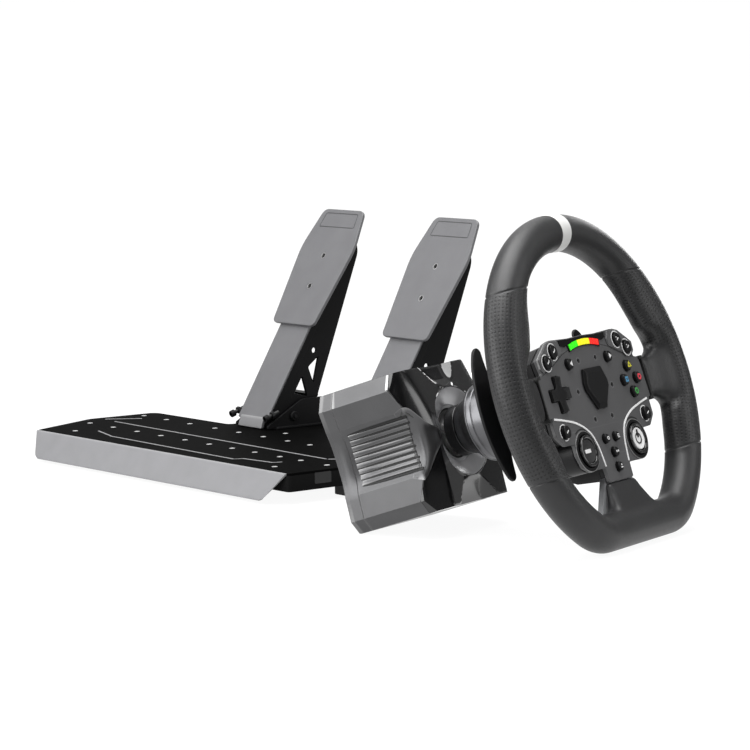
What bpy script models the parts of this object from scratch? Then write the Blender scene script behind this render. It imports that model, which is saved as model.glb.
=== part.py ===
# Direct-drive racing wheel set: wheel base, quick-release D-shaped steering wheel
# and a two-pedal set on a heel plate.  Units: metres, +Z up.
import math
import bpy
import bmesh
from mathutils import Matrix, Vector

# ---------------------------------------------------------------- dimensions (mm)
PITCH = 18.0            # wheel unit leans back by this angle when it stands on the floor
HUB_H = 119.32          # height of the hub centre above the floor
OFFSET_X = -127.273      # puts the whole set's box centre on the origin
OFFSET_Y = -325.395
PEDAL_YAW = -110.1      # heading of the pedal set, degrees
PEDAL_X, PEDAL_Y = 178.4, 694.6

RIM_R = 125.3           # radius of the grip's centre line (280 mm outside)
GRIP_R = 14.7           # grip section radius
RIM_FLAT = -110.0       # height of the flat bottom's centre line
RIM_FILLET = 35.0       # corner radius at the flat bottom
RIM_Y = -0.65           # plane of the grip's centre line
CORE_W = 6.0            # half width of the rim core
CORE_Y0, CORE_Y1 = 3.3, 8.3
EAR_X, EAR_Z = 73.0, 12.0
GAP = 0.3               # gap between neighbouring pieces

FACE_T = 3.0            # front plate thickness
HOUSING_Y = 38.0        # back of the rim's electronics housing
SCREW_R = 27.25         # radius of the six hub screws' circle
BUTTON_PROUD = 3.4
BUTTON_BACK = 7.0
RINGED_BACK = 2.9       # the ringed buttons are shallow, over the housing's wall

BASE_Y0, BASE_Y1 = 144.0, 209.5
REAR_Y = 213.5
COVER_NOSE = 123.0
DISH_R, DISH_Y = 37.0, 128.0
HOLE_R, HOLE_Y = 20.5, 136.0

PLATE_TOP = 27.0        # height of the heel plate
PLATE_W = 400.0
BRAKE_X, PEDAL_FOOT_Y = 133.4, 147.0
THROTTLE_X, THROTTLE_DY = 316.5, -10.0
LEAN = 31.6             # pedal lever's lean, degrees from vertical
PIVOT_Y, PIVOT_Z = 182.0, 38.0

S = 0.001

# ---------------------------------------------------------------- scene
for ob in list(bpy.data.objects):
    bpy.data.objects.remove(ob, do_unlink=True)
scene = bpy.context.scene
parts = bpy.data.collections.new("racing_wheel")
cutters = bpy.data.collections.new("cutters")
scene.collection.children.link(parts)
scene.collection.children.link(cutters)


def empty(name, loc, rot):
    e = bpy.data.objects.new(name, None)
    e.location = loc
    e.rotation_euler = rot
    parts.objects.link(e)
    return e


wheel_unit = empty("wheel_unit", (OFFSET_X * S, OFFSET_Y * S, HUB_H * S), (math.radians(-PITCH), 0, 0))
pedal_unit = empty("pedal_unit", ((PEDAL_X + OFFSET_X) * S, (PEDAL_Y + OFFSET_Y) * S, 0), (0, 0, math.radians(PEDAL_YAW)))


def material(name, colour, rough, metal=0.0):
    m = bpy.data.materials.new(name)
    m.use_nodes = True
    b = m.node_tree.nodes["Principled BSDF"]
    b.inputs["Base Color"].default_value = (*colour, 1)
    b.inputs["Roughness"].default_value = rough
    b.inputs["Metallic"].default_value = metal
    return m


COLOURS = {
    "leather": ((0.035, 0.035, 0.037), 0.55, 0.0),
    "panel": ((0.13, 0.13, 0.135), 0.45, 0.6),
    "black": ((0.012, 0.012, 0.013), 0.4, 0.0),
    "gloss": ((0.02, 0.02, 0.022), 0.15, 0.3),
    "housing": ((0.2, 0.2, 0.205), 0.35, 0.9),
    "steel": ((0.55, 0.55, 0.56), 0.25, 1.0),
    "silver": ((0.45, 0.45, 0.46), 0.3, 1.0),
    "lever": ((0.22, 0.22, 0.23), 0.5, 0.3),
    "lip": ((0.35, 0.35, 0.36), 0.5, 0.3),
    "white": ((0.85, 0.85, 0.85), 0.5, 0.0),
    "rubber": ((0.02, 0.02, 0.02), 0.8, 0.0),
    "board": ((0.02, 0.12, 0.05), 0.5, 0.0),
    "copper": ((0.5, 0.25, 0.1), 0.4, 0.9),
    "yellow": ((0.8, 0.6, 0.05), 0.35, 0.0),
    "blue": ((0.05, 0.2, 0.7), 0.35, 0.0),
    "red": ((0.7, 0.03, 0.03), 0.35, 0.0),
    "green": ((0.05, 0.5, 0.12), 0.35, 0.0),
}


def finish(ob, name, colour, parent, collection=None, smooth=True):
    ob.name = name
    ob.data.name = name
    if ob.data.users and collection is None:
        ob.data.materials.clear()
        ob.data.materials.append(material(name + "_mat", *COLOURS[colour]))
    if parent is not None:
        ob.parent = parent
    if smooth and ob.type == "MESH":
        ob.data.shade_smooth()
        ob.data.set_sharp_from_angle(angle=math.radians(35))
    (collection or parts).objects.link(ob)
    if collection is cutters:
        ob.hide_render = True
        ob.display_type = "WIRE"
    return ob


def mesh_from(ob):
    """Evaluated mesh of a curve or a modified object, welded, as a new mesh."""
    scene.collection.objects.link(ob)
    dg = bpy.context.evaluated_depsgraph_get()
    dg.update()
    me = bpy.data.meshes.new_from_object(ob.evaluated_get(dg))
    scene.collection.objects.unlink(ob)
    bm = bmesh.new()
    bm.from_mesh(me)
    bmesh.ops.remove_doubles(bm, verts=bm.verts, dist=1e-6)
    bmesh.ops.recalc_face_normals(bm, faces=bm.faces)
    bm.to_mesh(me)
    bm.free()
    return me


def flat(outline, lo, hi, holes=(), axis="Y"):
    """Flat outline as a filled 2D curve.  axis Y: outline is (x, z), thickness along y.
    axis Z: outline is (x, y), thickness along z.  axis X: outline is (y, z)."""
    cu = bpy.data.curves.new("outline", "CURVE")
    cu.dimensions = "2D"
    cu.fill_mode = "BOTH"
    cu.extrude = (hi - lo) / 2 * S
    for loop in [outline, *holes]:
        sp = cu.splines.new("POLY")
        sp.points.add(len(loop) - 1)
        for p, (a, b) in zip(sp.points, loop):
            p.co = (a * S, b * S, 0, 1)
        sp.use_cyclic_u = True
    tmp = bpy.data.objects.new("outline", cu)
    me = mesh_from(tmp)
    bpy.data.objects.remove(tmp)
    bpy.data.curves.remove(cu)
    mid = (hi + lo) / 2 * S
    if axis == "Y":
        me.transform(Matrix(((1, 0, 0, 0), (0, 0, -1, mid), (0, 1, 0, 0), (0, 0, 0, 1))))
    elif axis == "X":
        me.transform(Matrix(((0, 0, 1, mid), (1, 0, 0, 0), (0, 1, 0, 0), (0, 0, 0, 1))))
    else:
        me.transform(Matrix.Translation((0, 0, mid)))
    return bpy.data.objects.new("flat", me)


def place_origin(ob, origin):
    """Moves the object's origin to a point in its parent's frame (mm)."""
    o = Vector(origin) * S
    ob.data.transform(Matrix.Translation(-o))
    ob.location = o
    return ob


def box(x0, x1, y0, y1, z0, z1):
    bm = bmesh.new()
    bmesh.ops.create_cube(bm, size=1.0)
    for v in bm.verts:
        v.co = Vector(((v.co.x + 0.5) * (x1 - x0) + x0, (v.co.y + 0.5) * (y1 - y0) + y0, (v.co.z + 0.5) * (z1 - z0) + z0)) * S
    me = bpy.data.meshes.new("box")
    bm.to_mesh(me)
    bm.free()
    return bpy.data.objects.new("box", me)


def cylinder(centre, r0, r1, lo, hi, sides=16, axis="Y", phase=0.0):
    """Closed cylinder or cone frustum along an axis; centre holds the other two coordinates."""
    bm = bmesh.new()
    bmesh.ops.create_cone(bm, cap_ends=True, segments=sides, radius1=r0 * S, radius2=r1 * S, depth=(hi - lo) * S,
                          matrix=Matrix.Translation((0, 0, (hi + lo) / 2 * S)) @ Matrix.Rotation(phase, 4, "Z"))
    if axis == "Y":
        bm.transform(Matrix.Translation((centre[0] * S, 0, centre[1] * S)) @ Matrix.Rotation(math.radians(-90), 4, "X"))
    elif axis == "X":
        bm.transform(Matrix.Translation((0, centre[0] * S, centre[1] * S)) @ Matrix.Rotation(math.radians(90), 4, "Y"))
    else:
        bm.transform(Matrix.Translation((centre[0] * S, centre[1] * S, 0)))
    me = bpy.data.meshes.new("cylinder")
    bm.to_mesh(me)
    bm.free()
    return bpy.data.objects.new("cylinder", me)


def turned(name, profile, colour, parent, steps=24):
    """Closed profile (radius, distance along +Y) turned about the wheel axis with a Screw modifier."""
    area = 0.0
    for (r0, a0), (r1, a1) in zip(profile, profile[1:] + profile[:1]):
        area += r0 * a1 - r1 * a0
    if area > 0:            # outer side runs from the far end to the near end
        profile = profile[::-1]
    me = bpy.data.meshes.new(name)
    closed = all(r > 0 for r, a in profile)
    n = len(profile)
    verts = [(r * S, 0, a * S) for r, a in profile]
    edges = [(i, (i + 1) % n) for i in range(n)]
    if not closed:
        edges = [(i, j) for i, j in edges if not (profile[i][0] == 0 and profile[j][0] == 0)]
    me.from_pydata(verts, edges, [])
    ob = bpy.data.objects.new(name, me)
    finish(ob, name, colour, parent, smooth=False)
    ob.rotation_euler = (math.radians(-90), 0, 0)
    m = ob.modifiers.new("turn", "SCREW")
    m.axis = "Z"
    m.angle = math.tau
    m.screw_offset = 0
    m.steps = m.render_steps = steps
    m.use_merge_vertices = True
    m.merge_threshold = 1e-5
    m.use_smooth_shade = True
    return ob


def boolean(ob, other, name, parent, op="DIFFERENCE"):
    finish(other, name, "black", parent, collection=cutters, smooth=False)
    m = ob.modifiers.new(name, "BOOLEAN")
    m.operation = op
    m.solver = "EXACT"
    m.object = other
    return ob


def circle(cx, cz, r, n=12, phase=0.0):
    return [(cx + r * math.cos(phase + math.tau * i / n), cz + r * math.sin(phase + math.tau * i / n)) for i in range(n)]


def mirrored(half):
    """Closed outline from its right half, listed from top centre round to bottom centre."""
    left = [(-x, z) for x, z in reversed(half) if x > 0]
    return list(half) + left


def arc(cx, cz, r, a0, a1, n):
    return [(cx + r * math.cos(math.radians(a0 + (a1 - a0) * i / n)), cz + r * math.sin(math.radians(a0 + (a1 - a0) * i / n))) for i in range(n + 1)]


# ---------------------------------------------------------------- D-shaped path of the rim
def d_path(offset, n_arc=40, n_fillet=5, flat_points=True):
    """Right half of the D outline moved outwards by offset, from the top to the bottom centre."""
    rf = RIM_FILLET
    cz = RIM_FLAT + rf
    cx = math.sqrt((RIM_R - rf) ** 2 - cz ** 2)
    ang = math.degrees(math.atan2(cz, cx))
    pts = arc(0, 0, RIM_R + offset, 90, ang, n_arc)
    pts += arc(cx, cz, rf + offset, ang, -90, n_fillet)[1:]
    if flat_points:
        pts += [(cx / 2, RIM_FLAT - offset), (0, RIM_FLAT - offset)]
    return pts


def core_outlines(m):
    """Rim core with its three ears, grown by m on every side: outer outline and the inner hole."""
    outer = mirrored(d_path(CORE_W + m, flat_points=False))
    inner = d_path(-CORE_W - m, flat_points=False)
    half = [p for p in inner if p[1] > EAR_Z + m + 0.5]
    xr = math.sqrt((RIM_R - CORE_W - m) ** 2 - (EAR_Z + m) ** 2)
    half += [(xr, EAR_Z + m), (EAR_X - m, EAR_Z + m), (EAR_X - m, -EAR_Z - m), (xr, -EAR_Z - m)]
    half += [p for p in inner if p[1] < -EAR_Z - m - 0.5 and p[0] > 46 + m]
    zb = RIM_FLAT + CORE_W + m
    half += [(44 + m, zb), (19.0 + m, -69 + m)]
    return outer, mirrored(half)


outer, hole = core_outlines(0.0)
rim_frame = finish(flat(outer, CORE_Y0, CORE_Y1, [hole]), "rim_frame", "steel", wheel_unit)


def core_cutter(name):
    o, h = core_outlines(GAP)
    return flat(o, CORE_Y0 - GAP, CORE_Y1 + GAP, [h])


def grip(name, pts, colour="leather", radii=None, res=3):
    """Length of grip: a curve with a round bevel and filled caps, made a mesh."""
    cu = bpy.data.curves.new("grip", "CURVE")
    cu.dimensions = "3D"
    cu.bevel_depth = GRIP_R * S
    cu.bevel_resolution = res
    cu.use_fill_caps = True
    sp = cu.splines.new("POLY")
    sp.points.add(len(pts) - 1)
    for i, (p, (x, z)) in enumerate(zip(sp.points, pts)):
        p.co = (x * S, RIM_Y * S, z * S, 1)
        p.radius = radii[i] if radii else 1.0
    tmp = bpy.data.objects.new("grip", cu)
    me = mesh_from(tmp)
    bpy.data.objects.remove(tmp)
    bpy.data.curves.remove(cu)
    return finish(bpy.data.objects.new(name, me), name, colour, wheel_unit)


SEAM_UP, SEAM_LOW = 40.0, -26.0     # seams of the perforated grips, degrees from level
MARK = 3.2                          # half angle of the centre marker, degrees
groove = 0.9
top = []
radii = []
for a, k in [(SEAM_UP + 0.14, 1), (SEAM_UP + 0.7, 1), (48, 1), (56, 1), (64, 1), (72, 1), (80, 1), (90 - MARK - 0.45, 1), (90 - MARK - 0.35, groove), (90, groove)]:
    top.append((RIM_R * math.cos(math.radians(a)), RIM_R * math.sin(math.radians(a))))
    radii.append(k)
top_grip = grip("top_grip", top + [(-x, z) for x, z in reversed(top[:-1])], radii=radii + radii[:-1][::-1])
boolean(top_grip, core_cutter("c"), "top_core_cut", wheel_unit)

marker = [(RIM_R * math.cos(math.radians(a)), RIM_R * math.sin(math.radians(a))) for a in (90 + MARK, 90 + MARK - 0.4, 90, 90 - MARK + 0.4, 90 - MARK)]
top_marker = grip("top_marker", marker, "white", radii=[1.01] * 5)
inner_tube = grip("marker_bore", [(RIM_R * math.cos(math.radians(a)), RIM_R * math.sin(math.radians(a))) for a in (90 + MARK + 2, 90, 90 - MARK - 2)], radii=[groove + 0.022] * 3)
parts.objects.unlink(inner_tube)
inner_tube.parent = None
boolean(top_marker, inner_tube, "marker_bore", wheel_unit)

for side, sx in (("right", 1), ("left", -1)):
    ends = (SEAM_UP - 0.14, SEAM_LOW + 0.14)
    pts = arc(0, 0, RIM_R, ends[0] - 0.6, ends[1] + 0.6, 9)
    pts = [(RIM_R * math.cos(math.radians(ends[0])), RIM_R * math.sin(math.radians(ends[0])))] + pts + [
        (RIM_R * math.cos(math.radians(ends[1])), RIM_R * math.sin(math.radians(ends[1])))]
    ob = grip(side + "_grip", [(sx * x, z) for x, z in pts])
    bm = bmesh.new()
    # moulded spoke that flares from the panel's edge into the grip
    near = [(-14, -1), (14, -1), (17, 4), (14, 9.2), (-14, 9.2), (-17, 4)]
    far = [(-26, -8), (26, -8), (33, 1), (26, 10), (-26, 10), (-33, 1)]
    mid = [(-16, -3), (16, -3), (20, 3), (16, 9.6), (-16, 9.6), (-20, 3)]
    rings = []
    for x, ring in ((84.3, near), (98, mid), (119, far)):
        rings.append([bm.verts.new((sx * x * S, y * S, z * S)) for z, y in ring])
    for r0, r1 in zip(rings, rings[1:]):
        for i in range(6):
            bm.faces.new((r0[i], r0[(i + 1) % 6], r1[(i + 1) % 6], r1[i]))
    bm.faces.new(rings[0][::-1])
    bm.faces.new(rings[-1])
    bmesh.ops.recalc_face_normals(bm, faces=bm.faces)
    me = bpy.data.meshes.new("flare")
    bm.to_mesh(me)
    bm.free()
    boolean(ob, bpy.data.objects.new("flare", me), side + "_flare", wheel_unit, "UNION")
    boolean(ob, core_cutter("c"), side + "_core_cut", wheel_unit)

low = [p for p in d_path(0, n_arc=40) if math.degrees(math.atan2(p[1], p[0])) < SEAM_LOW - 1.5]
first = [(RIM_R * math.cos(math.radians(SEAM_LOW - d)), RIM_R * math.sin(math.radians(SEAM_LOW - d))) for d in (0.14, 0.7)]
low = first + low
bottom_grip = grip("bottom_grip", low + [(-x, z) for x, z in reversed(low[:-1])])
bm = bmesh.new()
near = [(-23, 0.5), (23, 0.5), (23, 9.5), (-23, 9.5)]
mid = [(-31, -2), (31, -2), (31, 10), (-31, 10)]
far = [(-52, -7), (52, -7), (52, 10), (-52, 10)]
rings = []
for z, ring in ((-75.0, near), (-88, mid), (-105, far)):
    rings.append([bm.verts.new((x * S, y * S, z * S)) for x, y in ring])
for r0, r1 in zip(rings, rings[1:]):
    for i in range(4):
        bm.faces.new((r0[i], r0[(i + 1) % 4], r1[(i + 1) % 4], r1[i]))
bm.faces.new(rings[0][::-1])
bm.faces.new(rings[-1])
bmesh.ops.recalc_face_normals(bm, faces=bm.faces)
me = bpy.data.meshes.new("flare")
bm.to_mesh(me)
bm.free()
boolean(bottom_grip, bpy.data.objects.new("flare", me), "bottom_flare", wheel_unit, "UNION")
boolean(bottom_grip, core_cutter("c"), "bottom_core_cut", wheel_unit)

# ---------------------------------------------------------------- front plate, cap, lens
panel_half = [(0, 43.0), (20.8, 42.4), (49.3, 43.4), (58, 41.5), (75.5, 30.5), (73, 18.7), (80.6, 17), (82.4, -15.5), (78.5, -17.5),
              (78.5, -30), (69, -38.2), (56, -38.6), (56.2, -47), (52.0, -57.5), (42, -62.3), (30, -61.8), (19.8, -61.7), (19.3, -73.6), (0, -73.6)]
buttons = {
    # name: (x, z, radius, sides, colour)
    "button_n": (-31, 22.3, 4.3, 10, "black"), "button_p": (31, 22.3, 4.3, 10, "black"),
    "button_top": (57.0, 12.0, 4.4, 10, "yellow"), "button_left": (46.6, 1.3, 4.4, 10, "blue"),
    "button_right": (67.4, 1.3, 4.4, 10, "red"), "button_bottom": (57.0, -9.2, 4.4, 10, "green"),
    "upper_button_l1": (-51, 34, 5.2, 12, "black"), "upper_button_l2": (-64, 26.4, 5.2, 12, "black"),
    "upper_button_r1": (51, 34, 5.2, 12, "black"), "upper_button_r2": (64, 26.4, 5.2, 12, "black"),
    "lower_button_l": (-65, -28, 5.0, 12, "black"), "lower_button_r": (65, -28, 5.0, 12, "black"),
    "centre_button_1": (-8.2, -40, 3.6, 10, "black"), "centre_button_2": (8.2, -40, 3.6, 10, "black"),
    "centre_button_3": (0, -51.5, 3.9, 10, "black"), "centre_button_4": (0, -63.3, 3.7, 10, "black"),
    "round_button_l": (-40.2, -46, 12.6, 20, "black"), "round_button_r": (40.2, -46, 12.6, 20, "black"),
}
DPAD_X, DPAD_Z = -56.5, 1.0


def cross(cx, cz, a, w, g=0.0):
    a, w = a + g, w + g
    return [(cx + x, cz + z) for x, z in [(w, w), (w, a), (-w, a), (-w, w), (-a, w), (-a, -w), (-w, -w), (-w, -a), (w, -a), (w, -w), (a, -w), (a, w)]]


holes = [circle(x, z, r + GAP, n, math.pi / n) for x, z, r, n, c in buttons.values()]
holes.append(cross(DPAD_X, DPAD_Z, 14.2, 4.6, GAP))
holes += [circle(SCREW_R * math.cos(math.radians(60 * i)), SCREW_R * math.sin(math.radians(60 * i)), 1.9, 8) for i in range(6)]
front_plate = finish(flat(mirrored(panel_half), 0, FACE_T, holes), "front_plate", "panel", wheel_unit)

for name, (x, z, r, n, colour) in buttons.items():
    back = RINGED_BACK if name.startswith(("upper", "lower")) else BUTTON_BACK
    bm = bmesh.new()
    bmesh.ops.create_cone(bm, cap_ends=True, segments=n, radius1=r * S, radius2=r * S, depth=(BUTTON_PROUD + back) * S,
                          matrix=Matrix.Rotation(math.radians(-90), 4, "X") @ Matrix.Rotation(math.pi / n, 4, "Z"))
    me = bpy.data.meshes.new(name)
    bm.to_mesh(me)
    bm.free()
    ob = finish(bpy.data.objects.new(name, me), name, colour, wheel_unit)
    ob.location = (x * S, (back - BUTTON_PROUD) / 2 * S, z * S)
    m = ob.modifiers.new("edge", "BEVEL")
    m.width = 0.5 * S
    m.segments = 1
    m.limit_method = "ANGLE"
    m.angle_limit = math.radians(60)

dpad = finish(flat(cross(DPAD_X, DPAD_Z, 14.2, 4.6), -2.6, BUTTON_BACK), "direction_pad", "black", wheel_unit)
place_origin(dpad, (DPAD_X, FACE_T / 2, DPAD_Z))

cap = finish(flat(mirrored([(0, 16.6), (13.9, 16.4), (18.1, 5), (17.5, -0.5), (6.6, -16.7), (0, -16.9)]), -3.6, -GAP), "centre_cap", "gloss", wheel_unit)
lens_top = arc(0, -60, 100, 76.2, 103.8, 8)
lens_low = arc(0, -60, 95, 103.8, 76.2, 8)
lens = finish(flat(lens_top + lens_low, -1.6, -GAP), "rev_light_lens", "white", wheel_unit)

board = finish(flat(mirrored([(0, 34), (46, 34), (62, 24), (62, -26), (34, -26), (24, -34), (13, -36), (13, -65), (0, -65)]), 9.5, 11.1), "button_board", "board", wheel_unit)

# ---------------------------------------------------------------- electronics housing behind the front plate
shell_half = [(0, 40.5), (20, 39.9), (48, 41), (56.5, 39.2), (72.5, 29.3), (70.4, 16.6), (78, 14.8), (79.6, -13.6), (76, -16), (76, -28.6), (68, -35.6), (53.5, -36),
              (50, -58), (17.5, -59.2), (17, -71.4), (0, -71.4)]


def cup(name, outline, lo, hi, wall, colour, parent, taper=None):
    """Open-fronted shell: the outline's walls and its back, thickened inwards."""
    bm = bmesh.new()
    rims = []
    for y in (lo, hi):
        k = 1.0 if y == lo or taper is None else taper
        rims.append([bm.verts.new((x * k * S, y * S, z * k * S)) for x, z in outline])
    n = len(outline)
    for i in range(n):
        bm.faces.new((rims[0][i], rims[0][(i + 1) % n], rims[1][(i + 1) % n], rims[1][i]))
    bm.faces.new(rims[1])
    bmesh.ops.recalc_face_normals(bm, faces=bm.faces)
    back = [f for f in bm.faces if len(f.verts) == n][0]
    if back.normal.y < 0:
        bmesh.ops.reverse_faces(bm, faces=bm.faces)
    bmesh.ops.triangulate(bm, faces=[back])
    me = bpy.data.meshes.new(name)
    bm.to_mesh(me)
    bm.free()
    ob = finish(bpy.data.objects.new(name, me), name, colour, parent)
    m = ob.modifiers.new("wall", "SOLIDIFY")
    m.thickness = wall * S
    m.offset = -1
    m.use_even_offset = True
    return ob


rim_housing = cup("rim_housing", mirrored(shell_half), FACE_T + GAP + 1.0, HOUSING_Y, 2.2, "black", wheel_unit, 0.9)
for side, sx in (("left", -1), ("right", 1)):
    boolean(rim_housing, cylinder((sx * 40.2, -46), 15.6, 15.6, FACE_T + GAP, 47, 20), side + "_pod", wheel_unit, "UNION")
    boolean(rim_housing, cylinder((sx * 40.2, -46), 13.4, 13.4, FACE_T + GAP - 1, 20, 20), side + "_pod_bore", wheel_unit)
o, h = core_outlines(GAP)
boolean(rim_housing, flat(o, CORE_Y0 - GAP * 2, CORE_Y1 + GAP, [h]), "housing_ear_cut", wheel_unit)

# ---------------------------------------------------------------- hub: adapter, cone, spool, collar, paddles
wheel_adapter = turned("wheel_adapter", [(0, HOUSING_Y + GAP), (24, HOUSING_Y + GAP), (26, 40.5), (26, 62), (30, 66), (30, 101.7), (0, 101.7)], "black", wheel_unit, 28)
bracket = finish(flat([(-42, -30), (42, -30), (42, 30), (-42, 30)], 40.3, 43.0, [circle(0, 0, 26.5, 24)]), "paddle_bracket", "black", wheel_unit)
for i, (sx, sz) in enumerate([(1, 1), (1, -1), (-1, 1), (-1, -1)]):
    x0, x1 = sorted((sx * 29, sx * 37))
    z0, z1 = sorted((sz * 12.3, sz * 16))
    boolean(bracket, box(x0, x1, 42.0, 51.0, z0, z1), "ear_%d" % i, wheel_unit, "UNION")
PADDLE_X, PADDLE_Y = 33.0, 47.5
blade = [(31, -9), (62, -9), (70, -24), (73, -40), (73.5, -50), (78, -53), (83, -50), (89, -40), (94, -25), (97, -10), (97, 10), (94.5, 25),
         (90, 40), (83.5, 51), (78, 54), (73.5, 51), (73, 40), (70, 24), (62, 9), (31, 9)]
for side, sx in (("right", 1), ("left", -1)):
    ob = finish(flat([(sx * x, z) for x, z in blade], 46, 49), side + "_paddle", "black", wheel_unit)
    place_origin(ob, (sx * PADDLE_X, PADDLE_Y, 0))
    boolean(ob, cylinder((sx * PADDLE_X, PADDLE_Y), 3.2, 3.2, -12, 12, 12, "Z"), side + "_trunnion", wheel_unit, "UNION")

qr_cone = turned("qr_cone", [(14.3, 102), (31.6, 102), (32.6, 103), (32.6, 106.5), (24, 113), (18.7, 121), (14.3, 121)], "silver", wheel_unit, 32)
qr_spool = turned("qr_spool", [(0, 102), (14, 102), (14, 136), (19, 136), (19, 141.5), (0, 141.5)], "steel", wheel_unit, 24)
qr_collar = turned("qr_collar", [(14.4, 121.6), (19.5, 121.6), (20.5, 122.6), (20.5, 125.2), (19.5, 126), (19.5, 127), (20.5, 127.8), (20.5, 130.5), (19.5, 131.5), (14.4, 131.5)], "black", wheel_unit, 28)

# ---------------------------------------------------------------- wheel base
section_half = [(0, 57), (27, 57), (55, 57), (63.6, 44), (61, 25), (56, 18), (54, 8), (53.6, -2), (54, -12), (56, -20), (60.4, -27), (62, -46.7), (54.4, -57.3), (27, -57.3), (0, -57.3)]
section = mirrored(section_half)


def tube(name, outline, lo, hi, wall, colour):
    bm = bmesh.new()
    a = [bm.verts.new((x * S, lo * S, z * S)) for x, z in outline]
    b = [bm.verts.new((x * S, hi * S, z * S)) for x, z in outline]
    n = len(outline)
    for i in range(n):
        bm.faces.new((a[i], b[i], b[(i + 1) % n], a[(i + 1) % n]))
    me = bpy.data.meshes.new(name)
    bmesh.ops.recalc_face_normals(bm, faces=bm.faces)
    top = max(bm.faces, key=lambda f: f.calc_center_median().z)
    if top.normal.z < 0:
        bmesh.ops.reverse_faces(bm, faces=bm.faces)
    bm.to_mesh(me)
    bm.free()
    ob = finish(bpy.data.objects.new(name, me), name, colour, wheel_unit)
    m = ob.modifiers.new("wall", "SOLIDIFY")
    m.thickness = wall * S
    m.offset = -1
    m.use_even_offset = True
    return ob


base_housing = tube("base_housing", section, BASE_Y0, BASE_Y1, 2.6, "housing")
FIN_Z0, FIN_Z1, FIN_Y0, FIN_Y1 = -20.0, 17.0, 148.0, 186.0
for side, sx in (("left", -1), ("right", 1)):
    x0, x1 = sorted((sx * 47, sx * 70))
    boolean(base_housing, box(x0, x1, FIN_Y0, FIN_Y1, FIN_Z0, FIN_Z1), side + "_window", wheel_unit)
    comb = [(50.2, FIN_Z0 + GAP), (57.0, FIN_Z0 + GAP)]
    z = FIN_Z0 + GAP
    pitch = (FIN_Z1 - FIN_Z0 - 2 * GAP - 2.6) / 7
    for i in range(7):
        comb += [(57.0, z + 2.6), (52.4, z + 2.6), (52.4, z + pitch), (57.0, z + pitch)]
        z += pitch
    comb += [(57.0, FIN_Z1 - GAP), (50.2, FIN_Z1 - GAP)]
    finish(flat([(sx * x, z) for x, z in comb], FIN_Y0 + GAP, FIN_Y1 - GAP), side + "_fins", "housing", wheel_unit)

rear_holes = [circle(-28, 24, 5, 12), [(-6, 18), (6, 18), (6, 29), (-6, 29)], [(19, 18), (33, 18), (33, 30), (19, 30)]]
rear_cover = finish(flat(section, BASE_Y1 + GAP, REAR_Y, rear_holes), "rear_cover", "black", wheel_unit)


def densify(outline, step):
    out = []
    for (x0, z0), (x1, z1) in zip(outline, outline[1:] + outline[:1]):
        k = max(1, round(math.hypot(x1 - x0, z1 - z0) / step))
        out += [(x0 + (x1 - x0) * i / k, z0 + (z1 - z0) * i / k) for i in range(k)]
    return out


def nose(x, z):
    """Distance of the cover's front edge from the hub plane: far at the valleys, near at the four lobes."""
    if abs(z) > 50:
        k = max(0.0, 1 - abs(x) / 42.0)
        return COVER_NOSE + 14 * k
    if abs(z) < 30:
        return COVER_NOSE + 12 * (1 - abs(z) / 30.0) ** 0.6 + 2
    return COVER_NOSE + 1


bm = bmesh.new()
outline = densify(section, 13)
n = len(outline)
rings = []
rings.append([bm.verts.new((x * S, (BASE_Y0 - GAP) * S, z * S)) for x, z in outline])
rings.append([bm.verts.new((x * S, nose(x, z) * S, z * S)) for x, z in outline])
mid = []
for x, z in outline:
    a = math.atan2(z, x)
    c = Vector((DISH_R * math.cos(a), DISH_Y, DISH_R * math.sin(a)))
    e = Vector((x, nose(x, z), z))
    p = e.lerp(c, 0.55)
    mid.append(bm.verts.new((p.x * S, (p.y + 0.12 * abs(nose(x, z) - COVER_NOSE)) * S, p.z * S)))
rings.append(mid)
for r, y in ((DISH_R, DISH_Y), (HOLE_R, HOLE_Y)):
    rings.append([bm.verts.new((r * math.cos(math.atan2(z, x)) * S, y * S, r * math.sin(math.atan2(z, x)) * S)) for x, z in outline])
for r0, r1 in zip(rings, rings[1:]):
    for i in range(n):
        bm.faces.new((r0[i], r0[(i + 1) % n], r1[(i + 1) % n], r1[i]))
bmesh.ops.recalc_face_normals(bm, faces=bm.faces)
top_face = max(bm.faces, key=lambda f: f.calc_center_median().z)
if top_face.normal.z < 0:
    bmesh.ops.reverse_faces(bm, faces=bm.faces)
me = bpy.data.meshes.new("front_cover")
bm.to_mesh(me)
bm.free()
front_cover = finish(bpy.data.objects.new("front_cover", me), "front_cover", "gloss", wheel_unit)
m = front_cover.modifiers.new("wall", "SOLIDIFY")
m.thickness = 2.0 * S
m.offset = -1

turned("motor_can", [(17.3, 196), (34, 196), (34, 151), (45.5, 151), (45.5, 202), (17.3, 202)], "copper", wheel_unit, 24)
turned("motor_rotor", [(0, 141.8), (8, 141.8), (8, 153), (33.5, 153), (33.5, 194), (8, 194), (8, 202.4), (0, 202.4)], "steel", wheel_unit, 24)
turned("motor_front_plate", [(17.3, 144.6), (45.5, 144.6), (45.5, 150.7), (17.3, 150.7)], "steel", wheel_unit, 24)
turned("front_bearing", [(8.3, 144.8), (17, 144.8), (17, 150.5), (8.3, 150.5)], "steel", wheel_unit, 20)
turned("rear_bearing", [(8.3, 196.2), (17, 196.2), (17, 201.8), (8.3, 201.8)], "steel", wheel_unit, 20)
finish(flat([(-44, -40), (44, -40), (44, 40), (-44, 40)], 203.3, 204.9), "driver_board", "board", wheel_unit)

# ---------------------------------------------------------------- pedal set
plate_outline = [(0, 0), (PLATE_W, 0), (402, 3), (402, 240), (100, 240), (96, 152), (-24, 152), (-30, 147), (-34, 79)]


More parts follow.
